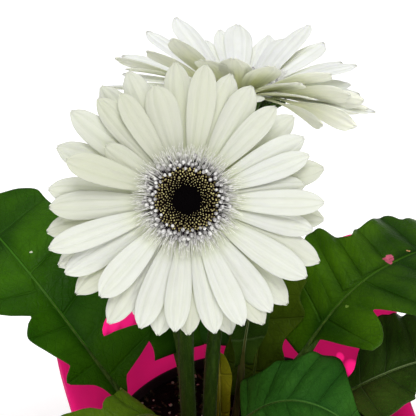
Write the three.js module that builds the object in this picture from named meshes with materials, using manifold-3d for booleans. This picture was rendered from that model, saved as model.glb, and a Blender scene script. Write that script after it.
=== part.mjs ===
// A white gerbera in a black nursery pot, standing in a flared magenta pot cover.
// Millimetres, +Z up, origin at the centre of the cover's base. Every piece is one closed mesh.
import * as THREE from 'three';
import { mergeVertices } from 'three/addons/utils/BufferGeometryUtils.js';
import Module from 'manifold-3d';

const wasm = await Module();
wasm.setup();

const { Vector3, MathUtils } = THREE;
const radians = MathUtils.degToRad;

// Driving dimensions.
const gap = 0.3; // clearance where one piece rests on or stands in another
const coverBaseRadius = 45;
const coverTaper = 0.2; // gain in radius for each millimetre of height
const coverWall = 1.0;
const coverFloor = 1.2;
const coverSegments = 48;
// The corners of the cover's rim and the dips between them: [azimuth, height].
const coverRim = [
  [10, 119], [55, 166], [74, 148], [116, 132], [172, 159], [208, 112], [238, 140], [276, 114], [325, 132],
];
const coverCornerFlare = 4;
const nurseryBaseRadius = 42.5;
const nurseryTopRadius = 57.5;
const nurseryHeight = 104;
const nurseryWall = 1.2;
const potSegments = 32; // of the nursery pot and the soil in it
const nurseryLip = { out: 3.5, deep: 8 };
const drainHoles = { count: 6, radius: 4.5, ring: 26 };
const soilEdge = 1.4; // height of the soil's edge above the ledge inside the rim
// The top of the soil from there to the centre: [part of the edge's radius, height].
const soilTop = [[0.8, 98.2], [0.6, 94.4], [0, 94]];
const holeSides = 6; // of the straight holes that stems and leaf stalks stand in
const stemFootHeight = 82; // where stems and leaf stalks end in the soil
const crownHeight = 97; // the height where they leave their straight feet
const petalThickness = 0.6;
const leafThickness = 0.7;
const bractThickness = 0.7;
const veinSweep = 0.7; // how far side veins run on towards the tip for each millimetre out

// The two stems, foot to neck, and the bloom that each one carries.
const blooms = {
  front: {
    centre: [-25, -21, 253.5], tilt: 52, roll: 0, foot: [-24, 0], stemRadius: 3.2,
    rise: [-29, 8, 160], neckEase: 35, bractRise: 3.2,
  },
  rear: {
    centre: [-4.8, 59, 248.5], tilt: -29, roll: 5, foot: [-17, 3.5], stemRadius: 2.9,
    rise: [-18, 8, 150], neckEase: 45, bractRise: 2.6,
  },
};

// Front bloom, seen from its face: [clockwise heading from the top, reach, lift, width].
const frontPetals = [
  [9, 48.7, 10, 10.5], [31, 46.9, 7, 11], [43, 45.8, 12, 9], [62, 47.6, 6, 9.5], [71, 46.5, 11, 8.5],
  [82, 42.6, 7, 8.5], [92, 49, 11, 9.5], [103, 46.5, 5, 9], [124, 50.8, 9, 11], [143, 50.4, 5, 10],
  [157, 49, 10, 9.5], [168, 49, 5, 9.5], [185, 47.2, 10, 9.5], [200, 49, 6, 10], [222, 46.5, 9, 11],
  [238, 51.2, 5, 10], [250, 52.2, 11, 9.5], [267, 49.4, 6, 10.5], [289, 44.7, 24, 10], [303, 35, 14, 8],
  [318, 48.3, 8, 9.5], [327, 44.7, 13, 8.5], [345, 42.6, 8, 12],
];
const frontUnderPetals = [
  [20, 48], [52, 49], [76, 50.5], [97, 50], [114, 52.6], [135, 52.2], [149, 52.6], [163, 51], [180, 48.7],
  [193, 50], [213, 52.8], [230, 52.6], [244, 52], [258, 52], [275, 50], [292, 50.8], [306, 52.6],
  [323, 51.5], [336, 50.8], [355, 50], [205, 45.5],
];
// Rear bloom: [heading, reach, lift, width, roll].
const rearPetals = [
  [358, 50, 32, 12, 4], [13, 50, 26, 10.5, -10], [23, 50, 28, 10, 12], [32, 52, 32, 11, -6],
  [43, 51, 26, 12, 8], [57, 49, 19, 11, 14], [70, 50, 17, 10, 18], [66, 50, 8, 11, 22],
  [76, 50, 5, 10.5, 25], [96, 54, -3, 11, 20], [106, 50, 3, 13, -52], [124, 50, 8, 13, -44],
  [113, 50, -8, 13, -62], [140, 50, 18, 12, -20], [147, 50, 5, 12.5, -10], [156, 50, 13, 13, -6],
  [169, 50, 20, 13, 0], [184, 50, 21, 13, 0], [197, 50, 21, 13, 4], [214, 50, 28, 12, 10],
  [229, 50, 21, 11, 15], [244, 50, 10, 11, 14], [258, 51, 12, 12, 25], [268, 53, -2, 12, 15],
  [285, 50, 14, 11, -18], [307, 50, 24, 11, -12], [327, 51, 31, 12, -5], [342, 50, 22, 10, 5],
  [349, 49, 28, 8, -15], [27, 51, 7, 13, 4], [97, 51, -4, 12, -40],
  [135, 45, -9, 13, -52], [176, 50, 3, 13, 0], [210, 50, 4, 13, 0], [246, 50, 3, 12, 8],
  [292, 51, 2, 12, -10], [330, 51, 8, 13, 0],
];
// Petals leave their ring at four heights, one over another.
const petalRoot = { radius: 12.5, heights: [-0.6, -1.25, -1.9, -2.55] };
const petalRing = { inner: 8.6, outer: 14.6, low: -3.2, high: -0.5, sides: 20 };
const fringe = { count: 11, root: 12.7, reach: 18, width: 1.5, lift: 26 };
const eye = { radius: 12.2, plugRadius: 8.3, sectors: 20, relief: 0.5 };
const bracts = { count: 11, rootRadius: 10.5, reach: 18.5, rootHeight: -7.5, halfWidth: 2.6 };
const cupDepth = 12; // of the green cup below the petals

// Leaves: foot on the soil, then the bend of the midrib to the tip, all [x, y] or [x, y, z].
// An outline lists [part of the blade's length, left half width, right half width], and veins the places of
// the side veins to the left and to the right; a plain leaf has even lobes instead.
const leaves = {
  leaf_left: {
    foot: [-33, 3], bend: [[-83, 9, 184], [-81, 7, 191], [-136, 108, 168]], stalk: 2.8, seed: 1,
    bladeFrom: 0.15, fold: 0.2, wave: 2, face: [0.2, -0.6, 1],
    veins: [[0.115, 0.265, 0.44, 0.66, 0.85], [0.06, 0.31, 0.52, 0.72, 0.9]],
    outline: [
      [0, 3, 2.5], [0.036, 4.5, 7], [0.044, 4.8, 18], [0.055, 5.5, 24], [0.07, 7, 26], [0.1, 13.5, 20.9],
      [0.115, 16.4, 17],
      [0.135, 14, 12], [0.15, 10.8, 8], [0.17, 12, 9.5], [0.19, 13.6, 20], [0.21, 15, 27],
      [0.265, 18, 30.5], [0.315, 14.7, 32.5], [0.34, 11.7, 31.5], [0.36, 19, 30.5],
      [0.4, 27, 25.5], [0.45, 28.5, 26], [0.5, 26.5, 28.6], [0.56, 21, 27.5], [0.62, 25, 26.7],
      [0.69, 26, 25.9], [0.75, 22, 25.8], [0.8, 18, 19.5], [0.84, 18.5, 10.8], [0.9, 15, 9], [0.96, 8.5, 6],
      [1, 1, 1],
    ],
  },
  leaf_right: {
    foot: [-4, 7], bend: [[37, 28, 169], [34, 14, 192], [101, 80, 158]], stalk: 2.4, seed: 2,
    bladeFrom: 0.25, fold: 0.14, wave: 2.6,
    veins: [[0.158, 0.327, 0.459, 0.607, 0.763, 0.893], [0.183, 0.45, 0.642, 0.833]],
    outline: [
      [0, 14, 1.2], [0.04, 18, 1.5], [0.094, 19.5, 3.6], [0.149, 19.5, 23], [0.167, 20.5, 31.4],
      [0.191, 22.5, 31.7], [0.215, 25.5, 29.6], [0.246, 30, 25.3], [0.288, 32.3, 20.1],
      [0.321, 32.7, 15.2], [0.344, 32.4, 20.5], [0.368, 31.5, 31], [0.433, 26.2, 33.9], [0.476, 24, 33.5],
      [0.527, 20.9, 29.5], [0.598, 25.2, 29.5], [0.668, 25.2, 30], [0.72, 26.2, 27], [0.772, 27.4, 23.5],
      [0.794, 25.6, 23.4], [0.815, 20.2, 24], [0.868, 19.9, 21.5], [0.929, 15, 15], [0.965, 9.5, 9.5],
      [1, 1, 1],
    ],
  },
  leaf_low_right: {
    foot: [-4, -4], bend: [[34, 23, 116], [58, -3, 162], [98, 34, 130]], stalk: 2.4, seed: 3,
    bladeFrom: 0.42, fold: 0.22, wave: 2,
    veins: [[0.12, 0.3, 0.53, 0.76, 0.92], [0.12, 0.3, 0.53, 0.76, 0.92]],
    outline: [
      [0, 4, 3], [0.04, 5.5, 10], [0.065, 6.2, 20], [0.09, 7.8, 26.5], [0.12, 15, 28.3], [0.16, 20, 27],
      [0.2, 23.7, 24.8], [0.235, 25.9, 23.7], [0.3, 27, 18.7], [0.36, 26, 16], [0.42, 25.6, 20],
      [0.5, 25.2, 25], [0.56, 25.4, 25.2], [0.62, 25, 22], [0.68, 24.6, 18.5], [0.74, 24, 20],
      [0.8, 19.5, 19.5], [0.87, 15.5, 16], [0.93, 10.5, 11], [1, 1, 1],
    ],
  },
  leaf_front_right: {
    foot: [-12, -6], bend: [[-12, -6, 136], [20, -4, 163], [52, -18, 120]], stalk: 2.4, seed: 4,
    bladeFrom: 0.31, fold: 0.14, wave: 1.4,
    veins: [[0.05, 0.2, 0.4, 0.6, 0.8], [0.07, 0.2, 0.38, 0.56, 0.8]],
    outline: [
      [0, 4, 4], [0.02, 19.7, 15], [0.07, 18.5, 18], [0.11, 17.7, 18.5], [0.15, 19, 20], [0.18, 21.9, 21],
      [0.25, 21.4, 20.5], [0.29, 23.4, 22], [0.33, 27, 24.5], [0.38, 27.3, 25],
      [0.45, 27, 23], [0.52, 26.7, 23], [0.59, 24.6, 22.5], [0.64, 20.3, 20], [0.69, 15.4, 16.5],
      [0.74, 12, 14], [0.79, 9, 12], [0.84, 6.5, 10], [0.92, 5, 6.5], [1, 1, 1],
    ],
  },
  leaf_front_left: {
    foot: [-31, -8], bend: [[-29, -13, 154], [-46, -42, 186], [-84, -64, 126]], stalk: 2.4, seed: 5,
    bladeFrom: 0.28, fold: 0.15, wave: 1.8,
    veins: [[0.125, 0.375, 0.625, 0.875], [0.09, 0.3, 0.62, 0.85]],
    outline: [
      [0, 4, 10], [0.03, 8, 13.5], [0.08, 14, 20], [0.12, 16.5, 18.8], [0.2, 19, 14.5],
      [0.3, 19.5, 13], [0.37, 17.5, 12.4], [0.43, 16, 11], [0.48, 16.5, 9], [0.5, 17, 12.8],
      [0.55, 19, 16.8], [0.61, 20.5, 20.8], [0.7, 19.5, 21], [0.77, 15.5, 16], [0.84, 14, 14], [0.92, 9, 9],
      [1, 1, 1],
    ],
  },
  leaf_middle: {
    foot: [-8, 12], bend: [[-2, 22, 130], [-4, 10, 165], [4, 10, 196]], stalk: 1.6, seed: 6,
    bladeFrom: 0.42, width: 20, sides: [1, 1], base: [0.4, 0.4], widest: [0.6, 0.6],
    lobes: 2, notch: 0.3, fold: 0.3, wave: 0.8, face: [0.3, -1, 0.3],
  },
  leaf_young: {
    foot: [-12, 8], bend: [[-13, 13, 108], [-12, 15, 125], [-13, 16, 145]], stalk: 1.7, seed: 7,
    bladeFrom: 0.2, width: 11, sides: [1, 1], base: [0.5, 0.5], widest: [0.6, 0.6],
    lobes: 2, notch: 0.2, fold: 0.35, wave: 0.4, face: [0, -1, 0.3],
  },
  leaf_middle_right: {
    foot: [-3, 12], bend: [[3, 27, 120], [4, 34, 150], [8, 43, 187]], stalk: 2, seed: 8,
    bladeFrom: 0.24, width: 42, sides: [0.9, 0.9], base: [0.5, 0.6], widest: [0.6, 0.65],
    lobes: 3, notch: 0.35, fold: 0.3, wave: 1.4, face: [-0.2, -1, 0.4],
  },
  leaf_back_left: {
    foot: [-25, 11], bend: [[-26, 20, 150], [-38, 40, 192], [-76, 104, 146]], stalk: 2.6, seed: 9,
    bladeFrom: 0.3, width: 56, sides: [1, 1], base: [0.4, 0.4], widest: [0.6, 0.6],
    lobes: 4, notch: 0.45, fold: 0.14, wave: 2.2,
  },
  leaf_back: {
    foot: [-17, 14], bend: [[-18, 36, 140], [-12, 62, 176], [2, 122, 136]], stalk: 2.6, seed: 10,
    bladeFrom: 0.3, width: 58, sides: [1, 1], base: [0.4, 0.4], widest: [0.6, 0.6],
    lobes: 4, notch: 0.45, fold: 0.14, wave: 2.2,
  },
  leaf_near_left: {
    foot: [-22, -13], bend: [[-24, -30, 146], [-24, -62, 172], [-30, -120, 120]], stalk: 2.6, seed: 12,
    bladeFrom: 0.26, width: 54, sides: [1, 1], base: [0.4, 0.4], widest: [0.6, 0.6],
    lobes: 4, notch: 0.45, fold: 0.14, wave: 2.2,
  },
  leaf_near: {
    foot: [-12, -15], bend: [[-4, -32, 144], [14, -62, 168], [40, -106, 120]], stalk: 2.6, seed: 13,
    bladeFrom: 0.3, width: 50, sides: [1, 1], base: [0.4, 0.4], widest: [0.6, 0.6],
    lobes: 4, notch: 0.45, fold: 0.14, wave: 2.2,
  },
  leaf_near_right: {
    foot: [-3, -13], bend: [[12, -32, 106], [48, -58, 172], [92, -73, 126]], stalk: 2.4, seed: 14,
    bladeFrom: 0.34, width: 46, sides: [1, 1], base: [0.4, 0.4], widest: [0.6, 0.6],
    lobes: 4, notch: 0.45, fold: 0.14, wave: 2.2,
  },
};

function material(color, roughness) {
  return new THREE.MeshStandardMaterial({ color, roughness, metalness: 0 });
}
const petalWhite = material(0xf3f4e8, 0.7);
const eyeBlack = material(0x1a1416, 0.8);
const stemGreen = material(0x2c4a16, 0.65);
const leafGreen = material(0x2f5a14, 0.5);
const leafDark = material(0x24421a, 0.5);
const leafPale = material(0x5a6418, 0.55);
const coverPink = material(0xb01d62, 0.3);
const nurseryBlack = material(0x151517, 0.6);
const soilBrown = material(0x1c140f, 0.95);

// Solids: joined and cut from closed meshes.
function toSolid(geometry) {
  const bare = geometry.clone();
  bare.deleteAttribute('normal');
  bare.deleteAttribute('uv');
  const merged = bare.index && geometry.userData.merged ? bare : mergeVertices(bare, 1e-4);
  return new wasm.Manifold(new wasm.Mesh({
    numProp: 3,
    vertProperties: new Float32Array(merged.attributes.position.array),
    triVerts: new Uint32Array(merged.index.array),
  }));
}

function toGeometry(solid) {
  const mesh = solid.getMesh();
  const geometry = new THREE.BufferGeometry();
  geometry.setAttribute('position', new THREE.BufferAttribute(mesh.vertProperties, 3));
  geometry.setIndex(new THREE.BufferAttribute(mesh.triVerts, 1));
  return geometry;
}

function joined(geometries) {
  return toGeometry(geometries.map(toSolid).reduce((whole, piece) => whole.add(piece)));
}

function cut(geometry, cutters) {
  const whole = toSolid(geometry);
  return toGeometry(cutters.map(toSolid).reduce((rest, cutter) => rest.subtract(cutter), whole));
}

function fromPoints(points, triangles) {
  const geometry = new THREE.BufferGeometry();
  const flat = points.flatMap((point) => [point.x, point.y, point.z]);
  geometry.setAttribute('position', new THREE.Float32BufferAttribute(flat, 3));
  geometry.setIndex(triangles);
  geometry.userData.merged = true;
  return geometry;
}

// The triangles of a grid of points, alike for both faces of a blade.
function gridTriangles(rows, columns) {
  const triangles = [];
  for (let i = 0; i < rows - 1; i += 1) {
    for (let j = 0; j < columns - 1; j += 1) {
      const a = i * columns + j;
      const [b, c, d] = [a + 1, a + columns, a + columns + 1];
      const leansOut = j >= (columns - 1) / 2;
      triangles.push(...(leansOut ? [[a, b, d], [a, d, c]] : [[a, b, c], [b, d, c]]));
    }
  }
  return triangles;
}

// A blade of even thickness under a grid of points, closed round its edge.
function blade(grid, thickness) {
  const rows = grid.length;
  const columns = grid[0].length;
  const top = grid.flat();
  const triangles = gridTriangles(rows, columns);
  const normals = top.map(() => new Vector3());
  for (const [a, b, c] of triangles) {
    const across = top[b].clone().sub(top[a]);
    const normal = across.cross(top[c].clone().sub(top[a]));
    [a, b, c].forEach((corner) => normals[corner].add(normal));
  }
  normals.forEach((normal) => normal.normalize());
  const under = top.map((point, k) => point.clone().addScaledVector(normals[k], -thickness));
  const shift = top.length;
  const edge = [];
  for (let j = 0; j < columns; j += 1) edge.push(j);
  for (let i = 1; i < rows; i += 1) edge.push(i * columns + columns - 1);
  for (let j = columns - 2; j >= 0; j -= 1) edge.push((rows - 1) * columns + j);
  for (let i = rows - 2; i > 0; i -= 1) edge.push(i * columns);
  const index = triangles.flatMap(([a, b, c]) => [a, b, c, a + shift, c + shift, b + shift]);
  edge.forEach((a, k) => {
    const b = edge[(k + 1) % edge.length];
    index.push(a, b + shift, b, a, a + shift, b + shift);
  });
  return fromPoints([...top, ...under], index);
}

// A round bar along points, with its own radius at each of them.
function bar(points, radii, sides) {
  const rings = [];
  let side = new Vector3(1, 0, 0);
  points.forEach((point, i) => {
    const before = points[Math.max(i - 1, 0)];
    const after = points[Math.min(i + 1, points.length - 1)];
    const ahead = after.clone().sub(before).normalize();
    side = side.addScaledVector(ahead, -side.dot(ahead)).normalize();
    const other = ahead.clone().cross(side);
    for (let k = 0; k < sides; k += 1) {
      const angle = ((k + 0.5) / sides) * 2 * Math.PI;
      rings.push(point.clone()
        .addScaledVector(side, radii[i] * Math.cos(angle))
        .addScaledVector(other, radii[i] * Math.sin(angle)));
    }
  });
  const index = [];
  for (let i = 0; i < points.length - 1; i += 1) {
    for (let k = 0; k < sides; k += 1) {
      const next = (k + 1) % sides;
      const [a, b] = [i * sides + k, i * sides + next];
      index.push(a, b, b + sides, a, b + sides, a + sides);
    }
  }
  const last = (points.length - 1) * sides;
  for (let k = 1; k < sides - 1; k += 1) {
    index.push(0, k + 1, k, last, last + k, last + k + 1);
  }
  return fromPoints(rings, index);
}

function lathe(profile, segments) {
  const points = profile.map(([radius, height]) => new THREE.Vector2(radius, height));
  return new THREE.LatheGeometry(points, segments).rotateX(Math.PI / 2);
}

// Pot cover: a flared sleeve with a flat floor, its rim drawn up into four corners.
function rimAt(azimuth) {
  const count = coverRim.length;
  for (let k = 0; k < count; k += 1) {
    const [from, low] = coverRim[k];
    const [next, high] = coverRim[(k + 1) % count];
    const span = MathUtils.euclideanModulo(next - from, 360);
    const along = MathUtils.euclideanModulo(azimuth - from, 360) / span;
    if (along < 1) return MathUtils.lerp(low, high, 0.5 - 0.5 * Math.cos(Math.PI * along));
  }
  return coverRim[0][1];
}

function coverGeometry() {
  const rings = 3;
  const rimLow = Math.min(...coverRim.map(([, height]) => height));
  const rimHigh = Math.max(...coverRim.map(([, height]) => height));
  const points = [new Vector3(0, 0, 0), new Vector3(0, 0, coverFloor)];
  const index = [];
  for (let k = 0; k < coverSegments; k += 1) {
    const azimuth = (360 * k) / coverSegments;
    const rim = rimAt(azimuth);
    const corner = (rim - rimLow) / (rimHigh - rimLow);
    const column = (inset, floor) => {
      for (let i = 0; i <= rings; i += 1) {
        const z = MathUtils.lerp(floor, rim, i / rings);
        const flare = coverCornerFlare * corner * (z / rimHigh) ** 6;
        const radius = coverBaseRadius + coverTaper * z + flare - inset;
        points.push(new Vector3().setFromCylindricalCoords(radius, radians(azimuth + 90), z));
      }
    };
    column(0, 0);
    column(coverWall, coverFloor);
  }
  points.slice(2).forEach((point) => point.set(point.x, -point.z, point.y));
  const size = 2 * (rings + 1);
  for (let k = 0; k < coverSegments; k += 1) {
    const a = 2 + k * size;
    const b = 2 + ((k + 1) % coverSegments) * size;
    for (let i = 0; i < rings; i += 1) {
      index.push(a + i, b + i, b + i + 1, a + i, b + i + 1, a + i + 1);
      const [c, d] = [a + rings + 1 + i, b + rings + 1 + i];
      index.push(c, d + 1, d, c, c + 1, d + 1);
    }
    const [outer, inner] = [rings, size - 1];
    index.push(a + outer, b + outer, b + inner, a + outer, b + inner, a + inner);
    index.push(0, b, a, 1, a + rings + 1, b + rings + 1);
  }
  return fromPoints(points, index);
}

// Nursery pot: a thin tapered pot with a stepped band at its rim and drain holes in its floor.
const potFloor = coverFloor + gap;
const bandHeight = nurseryHeight - nurseryLip.deep;

function nurseryInsideAt(z) {
  const inside = [nurseryBaseRadius - nurseryWall, nurseryTopRadius - nurseryWall];
  return MathUtils.mapLinear(z, potFloor + nurseryWall, bandHeight + nurseryWall, ...inside);
}

function nurseryGeometry() {
  const bandRadius = nurseryTopRadius + nurseryLip.out;
  const profile = [
    [0, potFloor], [nurseryBaseRadius, potFloor], [nurseryTopRadius, bandHeight],
    [bandRadius, bandHeight], [bandRadius, nurseryHeight], [bandRadius - nurseryWall, nurseryHeight],
    [bandRadius - nurseryWall, bandHeight + nurseryWall],
    [nurseryTopRadius - nurseryWall, bandHeight + nurseryWall],
    [nurseryBaseRadius - nurseryWall, potFloor + nurseryWall],
    [0, potFloor + nurseryWall],
  ];
  const drains = Array.from({ length: drainHoles.count }, (_, k) => {
    const angle = (2 * Math.PI * k) / drainHoles.count;
    const drill = new THREE.CylinderGeometry(drainHoles.radius, drainHoles.radius, 6 * nurseryWall, 10);
    return drill.rotateX(Math.PI / 2)
      .translate(drainHoles.ring * Math.cos(angle), drainHoles.ring * Math.sin(angle), potFloor);
  });
  return cut(lathe(profile, potSegments), drains);
}

// Soil: fills the nursery pot, low and lumpy, with a straight hole for each stem and leaf stalk.
function soilGeometry(feet) {
  const low = potFloor + nurseryWall + gap;
  const ledge = bandHeight + nurseryWall + gap;
  const edge = nurseryTopRadius + nurseryLip.out - nurseryWall - gap;
  const profile = [
    [0, low], [nurseryInsideAt(low) - gap, low], [nurseryTopRadius - nurseryWall - gap, ledge],
    [edge, ledge], [edge, ledge + soilEdge],
    ...soilTop.map(([part, height]) => [edge * part, height]),
  ];
  const geometry = lathe(profile, potSegments);
  const position = geometry.attributes.position;
  for (let k = 0; k < position.count; k += 1) {
    const [x, y, z] = [position.getX(k), position.getY(k), position.getZ(k)];
    const lump = Math.sin(0.31 * x + 0.17 * y) + Math.sin(0.23 * y - 0.29 * x + 1);
    const reach = Math.hypot(x, y);
    if (z > low + 1 && reach > 1 && reach < 0.9 * edge) position.setZ(k, z + 0.7 * lump);
  }
  const holes = feet.map(([x, y, radius]) => {
    const top = crownHeight + 3;
    const bottom = stemFootHeight - gap;
    const holeRadius = (radius + gap) / Math.cos(Math.PI / holeSides);
    const drill = new THREE.CylinderGeometry(holeRadius, holeRadius, top - bottom, holeSides);
    return drill.rotateX(Math.PI / 2).translate(x, y, (top + bottom) / 2);
  });
  return cut(geometry, holes);
}

// Petals, in the bloom's own frame: the face looks along +Z and the heading turns clockwise from +Y.
function petalWidthAt(u) {
  const widest = 0.68;
  if (u < widest) return 0.3 + 0.7 * Math.sin((Math.PI / 2) * (u / widest));
  return (1 - ((u - widest) / 0.326) ** 2) ** 0.62;
}

function petalGeometry({ heading, reach, lift, width, root, bow, cup, roll, plain }) {
  const ahead = new Vector3(Math.sin(radians(heading)), Math.cos(radians(heading)), 0);
  const up = new Vector3(0, 0, 1);
  const run = reach - petalRoot.radius;
  const stations = plain ? [0, 0.4, 0.82, 1] : [0, 0.28, 0.6, 0.86, 1];
  const grid = stations.map((u) => {
    const height = root + run * (u * Math.tan(radians(lift)) + bow * u * (1 - u));
    const slope = Math.tan(radians(lift)) + bow * (1 - 2 * u);
    const along = ahead.clone().addScaledVector(up, slope).normalize();
    const middle = ahead.clone().multiplyScalar(petalRoot.radius + run * u).setZ(height);
    const across = along.clone().cross(up).normalize().applyAxisAngle(along, radians(roll * u));
    const normal = across.clone().cross(along);
    const halfWidth = (width / 2) * petalWidthAt(u);
    return [-1, 0, 1].map((s) => middle.clone()
      .addScaledVector(across, s * halfWidth)
      .addScaledVector(normal, -cup * halfWidth * Math.abs(s)));
  });
  return blade(grid, petalThickness);
}

// Small differences from petal to petal, the same each time.
function petalHabit(k, bow) {
  return {
    bow: bow + 0.03 * Math.sin(2.4 * k), cup: 0.14 + 0.1 * Math.sin(1.7 * k), roll: 7 * Math.sin(3.1 * k),
  };
}

function frontPetalGeometries() {
  const upper = frontPetals.map(([heading, reach, lift, width], k) => petalGeometry({
    heading, reach, lift, width, root: petalRoot.heights[lift > 8 ? 0 : 1], ...petalHabit(k, 0.05),
  }));
  const under = frontUnderPetals.map(([heading, reach], k) => petalGeometry({
    heading, reach, lift: 3.5 - 2.5 * (k % 2), width: 10.5, root: petalRoot.heights[2 + (k % 2)],
    plain: true, ...petalHabit(k + 5, 0.02),
  }));
  return [...upper, ...under];
}

// The higher a petal is lifted, the higher its root.
function rearPetalGeometries() {
  return rearPetals.map(([heading, reach, lift, width, roll], k) => {
    const root = petalRoot.heights[[16, 9, 4].filter((limit) => lift < limit).length];
    return petalGeometry({
      heading, reach, lift, width, root, plain: lift < 20, ...petalHabit(k, 0.1), roll,
    });
  });
}

function fringeGeometries() {
  return Array.from({ length: fringe.count }, (_, k) => {
    const angle = (2 * Math.PI * k) / fringe.count;
    const ahead = new Vector3(Math.sin(angle), Math.cos(angle), 0);
    const across = new Vector3(Math.cos(angle), -Math.sin(angle), 0);
    const lift = Math.tan(radians(fringe.lift + 8 * (k % 2)));
    const grid = [0, 1].map((u) => {
      const radius = MathUtils.lerp(fringe.root, fringe.reach - (k % 2), u);
      const height = petalRoot.heights[0] + (radius - fringe.root) * lift;
      const middle = ahead.clone().multiplyScalar(radius).setZ(height);
      const halfWidth = (fringe.width * (1 - 0.5 * u)) / 2;
      return [-1, 1].map((s) => middle.clone().addScaledVector(across, s * halfWidth));
    });
    return blade(grid, petalThickness);
  });
}

function petalsGeometry(petals) {
  const { inner, outer, low, high, sides } = petalRing;
  const ring = lathe([[inner, low], [outer, low], [outer, high], [inner, high], [inner, low]], sides);
  return joined([ring, ...petals, ...fringeGeometries()]);
}

// The eye: a plug set into the ring of petals, its top studded with florets.
function eyeGeometry() {
  const { radius, plugRadius, sectors, relief } = eye;
  const shoulder = petalRing.high + gap;
  const crown = [[1.6, 1], [3.6, 0.92], [4.6, 0.74], [3.8, 0.56], [3.1, 0.36], [2.9, 0.18]];
  const profile = [
    [0, petalRing.low], [plugRadius, petalRing.low], [plugRadius, shoulder], [radius, shoulder],
    ...crown.map(([height, part]) => [radius * part, height]), [0, 2.9],
  ];
  const geometry = lathe(profile, sectors);
  const position = geometry.attributes.position;
  for (let k = 0; k < position.count; k += 1) {
    const [sector, row] = [Math.floor(k / profile.length), k % profile.length];
    const studded = row > 4 && row < profile.length - 1;
    if (studded) position.setZ(k, position.getZ(k) + ((sector + row) % 2 ? relief : -relief));
  }
  return geometry;
}

// Stem: rises from its foot, bends to the bloom's axis and widens into the green cup with its bracts.
function bloomFrame({ centre, tilt, roll }) {
  const frame = new THREE.Group();
  frame.position.set(...centre);
  frame.rotation.set(radians(tilt), radians(roll), 0);
  frame.updateMatrixWorld();
  return frame;
}

function bractGeometries(bractRise) {
  return Array.from({ length: bracts.count }, (_, k) => {
    const angle = (2 * Math.PI * (k + 0.5)) / bracts.count;
    const ahead = new Vector3(Math.sin(angle), Math.cos(angle), 0);
    const across = new Vector3(Math.cos(angle), -Math.sin(angle), 0);
    const grid = [0, 0.5, 1].map((u) => {
      const radius = MathUtils.lerp(bracts.rootRadius, bracts.reach, u);
      const middle = ahead.clone().multiplyScalar(radius).setZ(bracts.rootHeight + bractRise * u);
      const halfWidth = bracts.halfWidth * (1 - 0.8 * u * u);
      return [-1, 1].map((s) => middle.clone().addScaledVector(across, s * halfWidth));
    });
    return blade(grid, bractThickness);
  });
}

function stemGeometry(bloom) {
  const frame = bloomFrame(bloom);
  const cupTop = petalRing.low - gap;
  const cupFoot = cupTop - cupDepth;
  const neck = new Vector3(0, 0, cupFoot + 3).applyMatrix4(frame.matrixWorld);
  const ease = new Vector3(0, 0, cupFoot - bloom.neckEase).applyMatrix4(frame.matrixWorld);
  const foot = new Vector3(...bloom.foot, crownHeight);
  const path = new THREE.CubicBezierCurve3(foot, new Vector3(...bloom.rise), ease, neck);
  const points = [foot.clone().setZ(stemFootHeight), ...path.getPoints(8)];
  const stem = bar(points, points.map(() => bloom.stemRadius), 7);
  const cup = lathe([
    [0, cupFoot], [3.6, cupFoot], [7.5, cupFoot + 2.6], [12.6, cupFoot + 8], [12.6, cupTop], [0, cupTop],
  ], 16);
  const head = [cup, ...bractGeometries(bloom.bractRise)];
  return joined([stem, ...head.map((piece) => piece.applyMatrix4(frame.matrixWorld))]);
}

// Leaves: a stalk that runs on under the blade as its midrib, and a blade with lobes and waves.
function leafPath({ foot, bend }) {
  const [second, third, tip] = bend.map((point) => new Vector3(...point));
  return new THREE.CubicBezierCurve3(new Vector3(...foot, crownHeight), second, third, tip);
}

// A value read from rows of marks, the first number of each row being its place.
function alongMarks(marks, column, place) {
  const k = Math.max(1, marks.findIndex(([mark]) => mark >= place));
  const [from, next] = [marks[k - 1], marks[k]];
  return MathUtils.mapLinear(place, from[0], next[0], from[column], next[column]);
}

// The place and the directions of the blade at a point of its midrib.
function leafFrameAt(leaf, path, t) {
  const along = path.getTangent(t);
  const facing = new Vector3(...(leaf.face ?? [0, 0, 1]));
  const across = along.clone().cross(facing).normalize();
  return { middle: path.getPoint(t), across, normal: across.clone().cross(along) };
}

// Counts side veins along the blade: a vein lies at each half, a dip between two lobes at each whole.
function lobeCount(leaf, u, side) {
  if (!leaf.veins) return leaf.lobes * u;
  const veins = leaf.veins[side < 0 ? 0 : 1];
  const marks = [[0, 0], ...veins.map((vein, k) => [vein, k + 0.5]), [1, veins.length]];
  return alongMarks(marks, 1, u);
}

function leafWidthAt(leaf, u, side) {
  const half = side < 0 ? 0 : 1;
  if (leaf.outline) return alongMarks(leaf.outline, 1 + half, u);
  const widest = leaf.widest[half];
  const outline = u < widest
    ? MathUtils.lerp(leaf.base[half], 1, Math.sin((Math.PI / 2) * (u / widest)) ** 1.5)
    : Math.sqrt(1 - ((u - widest) / (1.02 - widest)) ** 2);
  const depth = leaf.notch * (1 - 0.6 * u) * Math.min(1, 6 * u, 4 * (1 - u));
  const habit = 1 + 0.06 * Math.sin(2.3 * leaf.lobes * u + leaf.seed + 1.3 * side);
  const lobed = 1 - depth * Math.cos(Math.PI * leaf.lobes * u) ** 2;
  return (leaf.width / 2) * leaf.sides[half] * outline * lobed * habit;
}

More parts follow.
